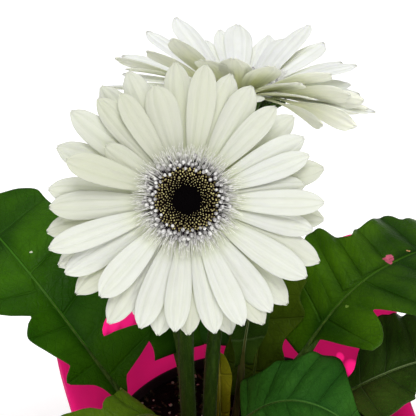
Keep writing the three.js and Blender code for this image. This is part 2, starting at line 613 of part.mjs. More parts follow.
function leafPoint(leaf, path, u, s) {
  const spread = Math.abs(s);
  const out = spread * leafWidthAt(leaf, u, Math.sign(s));
  const bladeLength = path.getLength() * (1 - leaf.bladeFrom);
  const sweep = (veinSweep * out * (1 - u) * Math.min(1, 4 * u)) / bladeLength;
  const frame = leafFrameAt(leaf, path, MathUtils.lerp(leaf.bladeFrom, 1, u + sweep));
  const ripple = 0.5 * leaf.wave * Math.cos(2 * Math.PI * lobeCount(leaf, u, s)) * spread;
  const swell = leaf.wave * Math.sin(5 * u + leaf.seed + 1.1 * Math.sign(s)) * spread ** 2;
  return frame.middle
    .addScaledVector(frame.across, Math.sign(s) * out)
    .addScaledVector(frame.normal, leaf.fold * out + Math.min(1, 3 * u) * (ripple + swell));
}

function leafGeometry(leaf) {
  const path = leafPath(leaf);
  const rows = 2 * leaf.lobes;
  const stations = leaf.outline?.map(([u]) => u) ?? Array.from({ length: rows + 1 }, (_, i) => i / rows);
  const grid = stations.map((u) => [-1, -0.5, 0, 0.5, 1].map((s) => leafPoint(leaf, path, u, s)));
  const steps = 6;
  const stalkEnd = MathUtils.lerp(leaf.bladeFrom, 1, 0.3);
  const ribPoints = [new Vector3(...leaf.foot, stemFootHeight)];
  const ribRadii = [leaf.stalk];
  for (let k = 0; k <= steps; k += 1) {
    const t = (stalkEnd * k) / steps;
    const radius = MathUtils.lerp(leaf.stalk, 0.9, (k / steps) ** 3);
    const { middle, normal } = leafFrameAt(leaf, path, t);
    const below = t > leaf.bladeFrom ? radius : 0;
    ribPoints.push(middle.addScaledVector(normal, -below));
    ribRadii.push(radius);
  }
  return joined([bar(ribPoints, ribRadii, 5), blade(grid, leafThickness)]);
}

// The whole plant in its pots.
const gerbera = new THREE.Group();

function place(parent, name, geometry, finish) {
  const mesh = new THREE.Mesh(geometry, finish);
  mesh.name = name;
  parent.add(mesh);
}

const feet = [
  ...Object.values(blooms).map(({ foot, stemRadius }) => [...foot, stemRadius]),
  ...Object.values(leaves).map(({ foot, stalk }) => [...foot, stalk]),
];
place(gerbera, 'pot_cover', coverGeometry(), coverPink);
place(gerbera, 'nursery_pot', nurseryGeometry(), nurseryBlack);
place(gerbera, 'soil', soilGeometry(feet), soilBrown);
const leafFinishes = { leaf_middle: leafDark, leaf_low_right: leafDark, leaf_young: leafPale };
for (const [name, leaf] of Object.entries(leaves)) {
  const finish = leafFinishes[name] ?? leafGreen;
  place(gerbera, name, leafGeometry(leaf), finish);
}
const petalsOf = { front: frontPetalGeometries, rear: rearPetalGeometries };
for (const [name, bloom] of Object.entries(blooms)) {
  const frame = bloomFrame(bloom);
  place(frame, `petals_${name}`, petalsGeometry(petalsOf[name]()), petalWhite);
  place(frame, `eye_${name}`, eyeGeometry(), eyeBlack);
  gerbera.add(frame);
  place(gerbera, `stem_${name}`, stemGeometry(bloom), stemGreen);
}

export default gerbera;
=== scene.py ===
from math import asin, atan2, cos, degrees, exp, pi, radians, sin, sqrt, tan
import random

import bpy
from mathutils import Matrix, Vector, noise


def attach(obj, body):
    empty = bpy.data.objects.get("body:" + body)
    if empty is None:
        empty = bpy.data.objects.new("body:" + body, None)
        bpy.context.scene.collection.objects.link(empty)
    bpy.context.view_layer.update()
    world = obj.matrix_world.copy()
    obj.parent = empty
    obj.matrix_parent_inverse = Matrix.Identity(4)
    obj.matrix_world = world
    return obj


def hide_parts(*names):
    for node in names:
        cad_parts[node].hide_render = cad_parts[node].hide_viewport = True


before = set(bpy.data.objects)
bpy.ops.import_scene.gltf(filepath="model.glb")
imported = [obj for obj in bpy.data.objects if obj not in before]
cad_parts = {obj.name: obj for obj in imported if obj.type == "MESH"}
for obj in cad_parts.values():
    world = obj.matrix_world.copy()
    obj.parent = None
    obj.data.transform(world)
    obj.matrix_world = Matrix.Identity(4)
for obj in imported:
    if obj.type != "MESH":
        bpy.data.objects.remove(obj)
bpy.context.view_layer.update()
mm = 0.001
zAxis = Vector((0, 0, 1))
print("frame loaded:", len(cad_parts), "nodes")


# Small helpers for numbers and colours.
def lerp(low, high, part):
    return low + (high - low) * part


def smoothStep(value, low, high):
    part = min(max((value - low) / (high - low), 0.0), 1.0)
    return part * part * (3 - 2 * part)


def colour(red, green, blue):  # 0 to 255, as on a screen
    def linear(value):
        value /= 255
        return value / 12.92 if value <= 0.04045 else ((value + 0.055) / 1.055) ** 2.4
    return (linear(red), linear(green), linear(blue), 1.0)


def bezierPoint(points, t):
    a, b, c, d = points
    s = 1 - t
    return a * s ** 3 + b * (3 * s * s * t) + c * (3 * s * t * t) + d * t ** 3


def bezierTangent(points, t):
    a, b, c, d = points
    s = 1 - t
    return ((b - a) * s * s + (c - b) * 2 * s * t + (d - c) * t * t).normalized()


# Node helpers, for materials and for shape trees alike. A new node goes into the tree that is being drawn.
drawing = {"tree": None, "surface": None}


class Value:  # one output of a node, which sums and products can be made of
    def __init__(self, node, key=0):
        self.node, self.key = node, key

    def __getitem__(self, key):
        return Value(self.node, key)

    def __add__(self, other):
        return calc("ADD", self, other)

    def __sub__(self, other):
        return calc("SUBTRACT", self, other)

    def __mul__(self, other):
        return calc("MULTIPLY", self, other)


def feed(socket, value):
    if isinstance(value, Value):
        drawing["tree"].links.new(value.node.outputs[value.key], socket)
    else:
        socket.default_value = value


def addNode(kind, values=(), **settings):
    node = drawing["tree"].nodes.new(kind)
    for name, value in settings.items():
        setattr(node, name, value)
    for key, value in dict(values).items():
        feed(node.inputs[key], value)
    return Value(node)


def calc(operation, *terms):
    return addNode("ShaderNodeMath", enumerate(terms), operation=operation)


def vectorCalc(operation, *terms):
    return addNode("ShaderNodeVectorMath", enumerate(terms), operation=operation)


def ramp(value, low, high, first=0.0, last=1.0):
    values = {"Value": value, "From Min": low, "From Max": high, "To Min": first, "To Max": last}
    return addNode("ShaderNodeMapRange", values, interpolation_type="SMOOTHSTEP")


def mixed(factor, first, second):
    return addNode("ShaderNodeMix", {0: factor, 6: first, 7: second}, data_type="RGBA")[2]


def noiseOf(place, scale, detail=3.0, rough=0.55):
    values = {"Vector": place, "Scale": scale, "Detail": detail, "Roughness": rough}
    return addNode("ShaderNodeTexNoise", values)


def attributeOf(name):
    return addNode("ShaderNodeAttribute", attribute_name=name)["Fac"]


def newMaterial(name, shader):
    # gives the material, and the place of each point of what wears it
    material = bpy.data.materials.new(name)
    material.use_nodes = True
    drawing["tree"] = material.node_tree
    drawing["surface"] = material.node_tree.nodes["Principled BSDF"].inputs
    for socket, value in shader.items():
        paint(socket, value)
    return material, addNode("ShaderNodeTexCoord")["Object"]


def paint(socket, value):
    feed(drawing["surface"][socket], value)


def setBump(height, distance, strength=1.0):
    bump = addNode("ShaderNodeBump", {"Height": height, "Distance": distance, "Strength": strength})
    paint("Normal", bump)


# Shells: points, faces, a UV map and two values for each point, gathered before they become a mesh.
def newShell():
    return {"points": [], "faces": [], "uvs": [], "under": [], "tint": [], "slots": []}


def addPoints(shell, points, uvs, under=0.0, tint=0.0):
    first = len(shell["points"])
    shell["points"].extend(points)
    shell["uvs"].extend(uvs)
    shell["under"].extend([under] * len(points))
    shell["tint"].extend([tint] * len(points))
    return first


def addFaces(shell, faces, slot=0):
    shell["faces"].extend(faces)
    shell["slots"].extend([slot] * len(faces))


def addBlade(shell, rows, uvRows, depths, tint=0.0, slot=0):
    # a thin closed blade below a grid of points; each point has its own depth
    count, width = len(rows), len(rows[0])
    top, below = [], []
    for i, row in enumerate(rows):
        before, after = rows[max(i - 1, 0)], rows[min(i + 1, count - 1)]
        for j, point in enumerate(row):
            across = row[min(j + 1, width - 1)] - row[max(j - 1, 0)]
            normal = across.cross(after[j] - before[j]).normalized()
            top.append(point)
            below.append(point - normal * depths[i][j])
    uvs = [uv for row in uvRows for uv in row]
    a = addPoints(shell, top, uvs, 0.0, tint)
    b = addPoints(shell, below, uvs, 1.0, tint)
    faces = []
    for i in range(count - 1):
        for j in range(width - 1):
            k = i * width + j
            faces.append((a + k, a + k + 1, a + k + width + 1, a + k + width))
            faces.append((b + k, b + k + width, b + k + width + 1, b + k + 1))
    edge = list(range(width))
    edge += [i * width + width - 1 for i in range(1, count)]
    edge += [(count - 1) * width + j for j in range(width - 2, -1, -1)]
    edge += [i * width for i in range(count - 2, 0, -1)]
    for k, here in enumerate(edge):
        following = edge[(k + 1) % len(edge)]
        faces.append((a + here, b + here, b + following, a + following))
    addFaces(shell, faces, slot)


def addTube(shell, points, radii, sides, slot=0, wobble=None):
    # a closed tube along points; wobble(angle, i) scales its radius
    side = Vector((1, 0, 0))
    ring, uvs = [], []
    for i, point in enumerate(points):
        ahead = (points[min(i + 1, len(points) - 1)] - points[max(i - 1, 0)]).normalized()
        side = (side - ahead * side.dot(ahead)).normalized()
        other = ahead.cross(side)
        for k in range(sides):
            angle = 2 * pi * k / sides
            radius = radii[i] * (wobble(angle, i) if wobble else 1.0)
            ring.append(point + side * (radius * cos(angle)) + other * (radius * sin(angle)))
            uvs.append((k / sides, i / (len(points) - 1)))
    ends = [points[0], points[-1]]
    a = addPoints(shell, ring, uvs)
    b = addPoints(shell, ends, [(0.5, 0.0), (0.5, 1.0)])
    faces = []
    for i in range(len(points) - 1):
        for k in range(sides):
            here, following = a + i * sides + k, a + i * sides + (k + 1) % sides
            faces.append((here, following, following + sides, here + sides))
    last = a + (len(points) - 1) * sides
    for k in range(sides):
        following = (k + 1) % sides
        faces.append((b, a + following, a + k))
        faces.append((b + 1, last + k, last + following))
    addFaces(shell, faces, slot)


def addLathe(shell, profile, sides, slot=0, shape=None):
    # turned about Z; the profile runs from the axis to the axis; shape(angle, radius, height) may move a point
    first, last = profile[0], profile[-1]
    inner = profile[1:-1]
    points, uvs = [], []
    for k in range(sides):
        angle = 2 * pi * k / sides
        for i, (radius, height) in enumerate(inner):
            place = shape(angle, radius, height) if shape else (radius, height)
            points.append(Vector((place[0] * cos(angle), place[0] * sin(angle), place[1])))
            uvs.append((k / sides, i / (len(inner) - 1)))
    a = addPoints(shell, points, uvs)
    b = addPoints(shell, [Vector((0, 0, first[1])), Vector((0, 0, last[1]))], [(0, 0), (0, 1)])
    count = len(inner)
    faces = []
    for k in range(sides):
        here, following = a + k * count, a + ((k + 1) % sides) * count
        faces += [(here + i, following + i, following + i + 1, here + i + 1) for i in range(count - 1)]
        faces.append((b, following, here))
        faces.append((b + 1, here + count - 1, following + count - 1))
    addFaces(shell, faces, slot)


def newObject(name, data):
    item = bpy.data.objects.new(name, data)
    bpy.context.collection.objects.link(item)
    return item


def newMesh(name, points, faces=()):
    mesh = bpy.data.meshes.new(name)
    mesh.from_pydata([Vector(point) * mm for point in points], [], faces)
    return mesh


def setPointData(mesh, key, values, kind="FLOAT"):
    field = "vector" if kind == "FLOAT_VECTOR" else "value"
    mesh.attributes.new(key, kind, "POINT").data.foreach_set(field, values)


def makePiece(name, shell, materials, place=None):
    mesh = newMesh(name, [place @ point if place else point for point in shell["points"]], shell["faces"])
    for material in materials:
        mesh.materials.append(material)
    uvLayer = mesh.uv_layers.new(name="spread")
    corners = [0] * len(mesh.loops)
    mesh.loops.foreach_get("vertex_index", corners)
    uvLayer.data.foreach_set("uv", [value for corner in corners for value in shell["uvs"][corner]])
    for key in ("under", "tint"):
        setPointData(mesh, key, shell[key])
    mesh.polygons.foreach_set("material_index", shell["slots"])
    mesh.shade_smooth()
    return newObject(name, mesh)


def keepPiece(piece, slot, *nodes):
    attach(piece, "root")
    if nodes:
        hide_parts(*nodes)


# Shape trees: one sets a copy of a template on each point, one sows copies over a surface.
def newShapeTree(name, **inputs):
    tree = bpy.data.node_groups.new(name, "GeometryNodeTree")
    inputs = {"Geometry": "Geometry", "Template": "Object", "Smallest": "Float", "Largest": "Float",
              "Seed": "Int", "Finish": "Material", **inputs}
    for label, kind in inputs.items():
        tree.interface.new_socket(label, in_out="INPUT", socket_type="NodeSocket" + kind)
    tree.interface.new_socket("Geometry", in_out="OUTPUT", socket_type="NodeSocketGeometry")
    drawing["tree"] = tree
    given = addNode("NodeGroupInput")
    return tree, given, randomOf(given["Smallest"], given["Largest"], given["Seed"])


def endTree(given, points, rotation, spin, scale):
    turns = {"Rotation": rotation, "Rotate By": spin}
    turned = addNode("FunctionNodeRotateRotation", turns, rotation_space="LOCAL")
    template = addNode("GeometryNodeObjectInfo", {"Object": given["Template"], "As Instance": True})
    placed = addNode("GeometryNodeInstanceOnPoints", {
        "Points": points, "Instance": template["Geometry"], "Rotation": turned, "Scale": scale})
    plain = addNode("GeometryNodeRealizeInstances", {"Geometry": placed})
    painted = addNode("GeometryNodeSetMaterial", {"Geometry": plain, "Material": given["Finish"]})
    feed(addNode("NodeGroupOutput").node.inputs[0], painted)


def randomOf(low, high, seed, kind="FLOAT"):
    drawn = addNode("FunctionNodeRandomValue", {"Seed": seed}, data_type=kind)
    sockets = [socket for socket in drawn.node.inputs if socket.enabled]
    feed(sockets[0], low)
    feed(sockets[1], high)
    return drawn[[socket.enabled for socket in drawn.node.outputs].index(True)]


def plantTree():
    tree, given, size = newShapeTree("plantOnPoints")
    aim = addNode("GeometryNodeInputNamedAttribute", {"Name": "aim"}, data_type="FLOAT_VECTOR")
    ownSize = addNode("GeometryNodeInputNamedAttribute", {"Name": "size"}, data_type="FLOAT")
    aimed = addNode("FunctionNodeAlignRotationToVector", {"Vector": aim}, axis="Z")
    angle = randomOf(0.0, 2 * pi, given["Seed"])
    spin = addNode("FunctionNodeAxisAngleToRotation", {"Axis": (0, 0, 1), "Angle": angle})
    endTree(given, given["Geometry"], aimed, spin, ownSize * size)
    return tree


def sowTree():
    tree, given, size = newShapeTree("sowOverSurface", Density="Float", Lean="Float")
    sown = addNode("GeometryNodeDistributePointsOnFaces",
                   {"Mesh": given["Geometry"], "Density": given["Density"], "Seed": given["Seed"]})
    lean = addNode("ShaderNodeCombineXYZ", {0: given["Lean"], 1: given["Lean"], 2: pi})
    swing = randomOf(vectorCalc("MULTIPLY", lean, (-1, -1, -1)), lean, given["Seed"], "FLOAT_VECTOR")
    spin = addNode("FunctionNodeEulerToRotation", {0: swing})
    endTree(given, sown["Points"], sown["Rotation"], spin, size)
    return tree


def grown(name, host, tree, **values):
    # runs a tree on a host mesh and keeps the result as a plain mesh
    piece = newObject(name, host)
    modifier = piece.modifiers.new(name, "NODES")
    modifier.node_group = tree
    for socket in tree.interface.items_tree:
        if socket.in_out == "INPUT" and socket.name in values:
            modifier[socket.identifier] = values[socket.name]
    graph = bpy.context.evaluated_depsgraph_get()
    made = piece.evaluated_get(graph)
    mesh = bpy.data.meshes.new_from_object(made, preserve_all_data_layers=True, depsgraph=graph)
    piece.modifiers.clear()
    piece.data = mesh
    mesh.name = name
    mesh.shade_smooth()
    return piece


def seedMesh(name, seeds, place):
    # seeds are (point, aim, size) in a bloom's own frame
    mesh = newMesh(name, [place @ point for point, aim, size in seeds])
    turn = place.to_3x3()
    setPointData(mesh, "aim", [value for point, aim, size in seeds for value in turn @ aim], "FLOAT_VECTOR")
    setPointData(mesh, "size", [size for point, aim, size in seeds])
    return mesh


def templatePiece(name, shell):
    # made in millimetres, kept out of the finished scene
    piece = makePiece(name, shell, [])
    templates.append(piece)
    return piece


templates = []
plant = plantTree()
sow = sowTree()


# Camera, floor and lights.
view = {"place": (-17.5, -530.2, 647.6), "down": 38.0, "focal": 1800.0, "frame": 416.0, "sensor": 36}
cameraData = bpy.data.cameras.new("camera")
cameraData.sensor_width = view["sensor"]
cameraData.lens = view["focal"] / view["frame"] * view["sensor"]
cameraData.clip_start, cameraData.clip_end = 0.01, 20
camera = newObject("camera", cameraData)
camera.location = Vector(view["place"]) * mm
camera.rotation_euler = (radians(90 - view["down"]), 0, 0)
bpy.context.scene.camera = camera

studio = {
    "world": {"Color": (1, 1, 1, 1), "Strength": 0.32}, "floorReach": 3000.0,
    "floor": {
        "Roughness": 0.85, "Specular IOR Level": 0.2, "Emission Color": (1, 1, 1, 1), "Emission Strength": 0.45},
    "floorTones": ((0.95, 0.95, 0.95, 1), (0.98, 0.98, 0.98, 1)),
    "lamps": {  # place and aim in millimetres, size in metres, watts
        "keyLamp": ((60, -430, 1390), (0, 0, 190), 0.55, 10.0),
        "frontLamp": ((160, -900, 430), (0, 0, 170), 0.7, 3.8),
        "backLamp": ((-250, 600, 1200), (0, 0, 200), 0.7, 3.2),
    },
}


def buildStudio():
    reach = studio["floorReach"]
    corners = [(-reach, -reach, 0), (reach, -reach, 0), (reach, reach, 0), (-reach, reach, 0)]
    floor = newObject("floor", newMesh("floor", corners, [(0, 1, 2, 3)]))
    material, place = newMaterial("paleFloor", studio["floor"])
    paint("Base Color", mixed(noiseOf(place, 12.0), *studio["floorTones"]))
    floor.data.materials.append(material)
    world = bpy.data.worlds.new("studio")
    world.use_nodes = True
    for socket, value in studio["world"].items():
        world.node_tree.nodes["Background"].inputs[socket].default_value = value
    bpy.context.scene.world = world
    for name, (place, aim, size, watts) in studio["lamps"].items():
        lamp = bpy.data.lights.new(name, "AREA")
        lamp.size = size
        lamp.energy = watts
        holder = newObject(name, lamp)
        holder.location = Vector(place) * mm
        holder.rotation_euler = (Vector(aim) - Vector(place)).to_track_quat("-Z", "Y").to_euler()


buildStudio()
bpy.context.scene.view_settings.view_transform = "Standard"
print("studio ready")


# Pot cover.
cover = {
    "baseRadius": 45.0, "taper": 0.2, "wall": 1.0, "floor": 1.2, "flare": 4.0,
    # azimuth and height of each peak and dip of the rim
    "rim": [
        (10, 119), (55, 166), (74, 148), (116, 132), (172, 159), (208, 112), (238, 140), (276, 114), (325, 132)],
    "sides": 192, "rows": 30, "footRound": 1.6,
    # body and deep are the plastic's own colours; the emission colour after them and the strengths on the next
    # line are painted light, a glow on the wall
    "body": colour(186, 26, 100), "deep": colour(146, 8, 68), "glow": colour(255, 34, 132),
    "glowLow": 0.035, "glowHigh": 0.24, "inner": 0.19,
    # painted light: glowing pools of light on the inside of the wall: a point on it, radius, strength
    "lit": [((-61.8, 37.5, 141.4), 9, 0.95), ((-56.8, 43.1, 138.5), 8, 0.85), ((-51.8, 48.7, 135.5), 8, 0.7),
            ((40.4, 52.1, 109.7), 3.2, 0.8), ((45.5, 46.6, 107.4), 6.5, 0.9)],
}


def rimAt(azimuth):
    rim = cover["rim"]
    for (start, low), (end, high) in zip(rim, rim[1:] + rim[:1]):
        along = ((azimuth - start) % 360) / ((end - start) % 360)
        if along < 1:
            return lerp(low, high, 0.5 - 0.5 * cos(pi * along))
    return rim[0][1]


def coverRadiusAt(z, rim):
    heights = [height for azimuth, height in cover["rim"]]
    corner = (rim - min(heights)) / (max(heights) - min(heights))
    return cover["baseRadius"] + cover["taper"] * z + cover["flare"] * corner * (z / max(heights)) ** 6


def coverPlastic():
    material, place = newMaterial("coverPlastic", {
        "Roughness": 0.28, "Specular IOR Level": 0.5, "Coat Weight": 0.25, "Coat Roughness": 0.2,
        "Subsurface Weight": 0.25, "Subsurface Radius": (0.006, 0.001, 0.003), "Subsurface Scale": 1.0,
        "Emission Color": cover["glow"]})
    cloudy = noiseOf(place, 22.0, 2.0)
    tone = mixed(ramp(cloudy, 0.35, 0.7), cover["deep"], cover["body"])
    paint("Base Color", mixed(0.65, tone, cover["body"]))
    setBump(noiseOf(place, 900.0, 2.0), 0.00004, 0.6)
    # painted light: the wall glows by emission, more near its rim and more on its inside
    height = addNode("ShaderNodeSeparateXYZ", {0: place})[2]
    inside = attributeOf("tint")
    glow = inside * cover["inner"] + ramp(height, 0.09, 0.135, cover["glowLow"], cover["glowHigh"])
    glow = glow * ramp(cloudy, 0.3, 0.7, 0.7, 1.2)
    # painted pools of light, on the inside only
    for point, radius, strength in cover["lit"]:
        off = vectorCalc("DISTANCE", place, Vector(point) * mm)["Value"]
        glow = calc("MAXIMUM", glow, ramp(off, radius * mm * 0.4, radius * mm, strength, 0.0) * inside)
    paint("Emission Strength", glow)
    return material


def buildCover():
    rows = cover["rows"]
    # the outside from foot to rim, round the rim and down the inside; 0 to 1 is the height up the wall
    steps = [("out", i / rows) for i in range(rows + 1)] + [("over", 0.5)]
    steps += [("in", 1 - i / rows) for i in range(rows + 1)]
    shell = newShell()

    def shape(angle, index, height):  # here the profile holds the number of the step
        side, part = steps[int(index) - 1]
        rim = rimAt(degrees(angle))
        if side == "over":
            return coverRadiusAt(rim, rim) - cover["wall"] / 2, rim + cover["wall"] * 0.3
        if side == "in":
            z = lerp(cover["floor"], rim, part)
            return coverRadiusAt(z, rim) - cover["wall"], z
        z = rim * part
        return coverRadiusAt(z, rim) - cover["footRound"] * max(0.0, 1 - z / cover["footRound"]) ** 2, z

    profile = [(0, 0)] + [(index + 1, 0) for index in range(len(steps))] + [(0, cover["floor"])]
    addLathe(shell, profile, cover["sides"], shape=shape)
    # tint marks the inside of the wall, where the painted glow is stronger
    for k, point in enumerate(shell["points"]):
        outside = coverRadiusAt(point.z, rimAt(degrees(atan2(point.y, point.x))))
        shell["tint"][k] = float(point.z > 4 and point.xy.length < outside - cover["wall"] * 0.6)
    keepPiece(makePiece("flaredCover", shell, [coverPlastic()]), "cover", "pot_cover")
    print("cover built")


buildCover()


# Nursery pot.
nursery = {
    "baseRadius": 42.5, "topRadius": 57.5, "height": 104.0, "wall": 1.2, "lipOut": 3.5, "lipDeep": 8.0,
    "bottom": 1.5, "sides": 160, "colour": colour(24, 24, 27), "worn": colour(52, 50, 50),
}


def nurseryInsideAt(z):
    low = nursery["bottom"] + nursery["wall"]
    high = nursery["height"] - nursery["lipDeep"] + nursery["wall"]
    return lerp(nursery["baseRadius"], nursery["topRadius"], (z - low) / (high - low)) - nursery["wall"]


def nurseryPlastic():
    material, place = newMaterial("nurseryPlastic", {"Roughness": 0.5, "Specular IOR Level": 0.35})
    dust = ramp(noiseOf(place, 60.0, 5.0, 0.65), 0.5, 0.75)
    paint("Base Color", mixed(dust, nursery["colour"], nursery["worn"]))
    setBump(noiseOf(place, 700.0), 0.00008, 0.7)
    return material


def buildNursery():
    base, side, wall = nursery["baseRadius"], nursery["topRadius"], nursery["wall"]
    bottom, top = nursery["bottom"], nursery["height"]
    band = top - nursery["lipDeep"]
    outer = side + nursery["lipOut"]
    soft = 0.35  # rounding of the edges
    profile = [(0, bottom), (base - 1, bottom)]
    profile += [(lerp(base, side, k / 12), lerp(bottom + 0.6, band - soft, k / 12)) for k in range(13)]
    profile += [
        (side + 0.2, band - 0.05), (outer - soft, band), (outer, band + soft), (outer, band + 4),
        (outer, top - soft), (outer - soft, top), (outer - wall + soft, top), (outer - wall, top - soft),
        (outer - wall, band + wall + 1.2), (outer - wall - 0.4, band + wall + 0.2),
        (side - wall + 0.4, band + wall), (side - wall, band + wall - 0.5),
    ]
    profile += [(nurseryInsideAt(z), z) for z in (80.0, 60.0, 40.0, 20.0, bottom + wall + 0.5)]
    profile += [(base - wall - 1.5, bottom + wall), (0, bottom + wall)]
    shell = newShell()
    addLathe(shell, profile, nursery["sides"])
    keepPiece(makePiece("blackPot", shell, [nurseryPlastic()]), "nursery", "nursery_pot")
    print("nursery pot built")


buildNursery()


# Soil, with crumbs, bark chips and white grains on it.
soil = {
    "middle": 94.0, "rim": 98.9, "edge": 1.4, "gap": 0.3, "rings": 46, "sides": 150, "roughness": 1.6,
    "dark": colour(6, 5, 4), "brown": colour(26, 21, 16), "chip": colour(96, 84, 66),
    "grain": colour(214, 208, 192), "greyGrain": colour(190, 184, 170),
    "bits": {  # stretch and seed of a lump, how many on a square metre, smallest and largest size
        "soilCrumbs": ((1, 0.8, 0.7), 3, 300000.0, 0.35, 1.0),
        "barkChips": ((2.6, 0.8, 0.45), 5, 42000.0, 0.5, 1.5),
        "whiteGrains": ((1, 0.9, 0.8), 8, 26000.0, 0.4, 1.35),
    },
}


def soilPaint(name, first, second, scale):
    material, place = newMaterial(name, {"Roughness": 0.95, "Specular IOR Level": 0.15})
    paint("Base Color", mixed(ramp(noiseOf(place, scale, 5.0, 0.7), 0.4, 0.68), first, second))
    setBump(noiseOf(place, scale * 4, 4.0), 0.0005)
    return material


def crumbTemplate(name, stretch, seed):
    # a rough little lump with its own stretch along each axis
    shell = newShell()
    random.seed(seed)
    rows = [(0, -1)] + [(sin(pi * k / 4), -cos(pi * k / 4)) for k in range(1, 4)] + [(0, 1)]
    addLathe(shell, rows, 6)
    shell["points"] = [point * Vector(stretch) * random.uniform(0.75, 1.15) for point in shell["points"]]
    return templatePiece(name, shell)


def buildSoil():
    inset = nursery["wall"] + soil["gap"]
    bottom = nursery["bottom"] + inset
    ledge = nursery["height"] - nursery["lipDeep"] + inset
    edge = nursery["topRadius"] + nursery["lipOut"] - inset
    profile = [(0, bottom), (nurseryInsideAt(bottom) - soil["gap"], bottom)]
    profile += [(nursery["topRadius"] - inset, ledge), (edge, ledge), (edge, ledge + soil["edge"])]
    profile += [(edge * (1 - k / soil["rings"]), None) for k in range(1, soil["rings"])] + [(0, soil["middle"])]
    shell = newShell()

    def shape(angle, radius, height):
        if height is not None:
            return radius, height
        x, y = radius * cos(angle), radius * sin(angle)
        lump = 0.7 * (sin(0.31 * x + 0.17 * y) + sin(0.23 * y - 0.29 * x + 1)) - 0.6
        lump += soil["roughness"] * noise.fractal(Vector((x, y, 0)) * 0.22, 0.6, 2.1, 5)
        free = 1 - 0.8 * smoothStep(radius / edge, 0.8, 1)
        return radius, lerp(soil["middle"], soil["rim"], smoothStep(radius / edge, 0.55, 0.86)) + free * lump

    addLathe(shell, profile, soil["sides"], shape=shape)
    earth = soilPaint("darkEarth", soil["dark"], soil["brown"], 160.0)
    bed = makePiece("soilBed", shell, [earth])
    onTop = {**shell, "faces": [], "slots": []}
    heights = [[shell["points"][k].z for k in face] for face in shell["faces"]]
    addFaces(onTop, [face for face, marks in zip(shell["faces"], heights)
                     if min(marks) > soil["middle"] - 6 and min(abs(z - ledge) for z in marks) > 0.001])
    top = makePiece("soilTop", onTop, [])
    finishes = (earth, soilPaint("barkBrown", soil["brown"], soil["chip"], 300.0),
                soilPaint("whiteGrain", soil["grain"], soil["greyGrain"], 500.0))
    for number, (name, finish) in enumerate(zip(soil["bits"], finishes)):
        stretch, seed, density, smallest, largest = soil["bits"][name]
        template = crumbTemplate(name + "Shape", stretch, seed)
        keepPiece(grown(name, top.data, sow, Template=template, Density=density, Smallest=smallest,
                        Largest=largest, Lean=0.5, Seed=11 + number, Finish=finish), "soil")
    bpy.data.objects.remove(top)
    keepPiece(bed, "soil", "soil")
    print("soil built")


buildSoil()


# Petals: a grooved blade with a small-toothed tip, its edges lowered.
petalForm = {
    "rootRadius": 12.5, "rootHeights": (-0.6, -1.25, -1.9, -2.55), "widest": 0.68, "tipLength": 0.326,
    "bodyRows": 12, "tipRows": 12, "thickness": 0.5, "groove": 0.42, "grooveAt": 0.36, "grooveWidth": 0.1,
    "disc": [(0, -3.2), (12.4, -3.2), (14.4, -2.9), (14.6, -1.0), (13.2, -0.5), (0, -0.5)],
    "spread": (
        -1.0, -0.93, -0.8, -0.62, -0.48, -0.37, -0.24, -0.1, 0.1, 0.24, 0.37, 0.48, 0.62, 0.8, 0.93, 1.0),
}


def petalWidthAt(u):
    widest = petalForm["widest"]
    if u < widest:
        return 0.3 + 0.7 * sin(pi / 2 * u / widest)
    return (1 - ((u - widest) / petalForm["tipLength"]) ** 2) ** 0.62


def petalStations():
    body, tip, widest = petalForm["bodyRows"], petalForm["tipRows"], petalForm["widest"]
    last = asin((1 - widest) / petalForm["tipLength"])
    stations = [widest * k / body for k in range(body)]
    return stations + [widest + petalForm["tipLength"] * sin(last * k / tip) for k in range(tip + 1)]


def addPetal(shell, heading, reach, lift, width, root, bow, cup, roll, tint, bend, curl, teeth):
    turn = radians(heading)
    ahead = Vector((sin(turn), cos(turn), 0))
    run = reach - petalForm["rootRadius"]
    rise, spread, grooveAt = tan(radians(lift)), petalForm["spread"], petalForm["grooveAt"]
    rows, uvRows, depths = [], [], []
    for u in petalStations():
        height = root + run * (u * rise + bow * u * (1 - u) + curl * max(0.0, u - 0.6) ** 2)
        slope = rise + bow * (1 - 2 * u) + 2 * curl * max(0.0, u - 0.6)
        along = (ahead + zAxis * slope).normalized()
        across = Matrix.Rotation(radians(roll * u), 3, along) @ along.cross(zAxis).normalized()
        normal = across.cross(along)
        middle = ahead * (petalForm["rootRadius"] + run * u) + zAxis * height + across * (bend * run * u * u)
        halfWidth = width / 2 * petalWidthAt(u)
        nearTip = smoothStep(u, 0.88, 1.0)
        groove = petalForm["groove"] * smoothStep(u, 0.02, 0.2) * (1 - 0.4 * nearTip)
        row = []
        for s in spread:
            dip = cup * halfWidth * abs(s) ** 1.5
            dip += groove * exp(-((abs(s) - grooveAt) / petalForm["grooveWidth"]) ** 2)
            tooth = teeth * nearTip * (0.5 - 0.5 * cos(3 * pi * s))
            row.append(middle + across * (s * halfWidth) - normal * dip - along * tooth)
        rows.append(row)
        uvRows.append([(0.5 + 0.5 * s, u) for s in spread])
        depths.append([petalForm["thickness"] * (1 - 0.6 * s * s) * (1 - 0.35 * u) for s in spread])
    addBlade(shell, rows, uvRows, depths, tint)


def petalHabit(k, bow):
    # bow, cup and roll of one petal; each swings from petal to petal
    return bow + 0.03 * sin(2.4 * k), 0.14 + 0.1 * sin(1.7 * k), 7 * sin(3.1 * k)


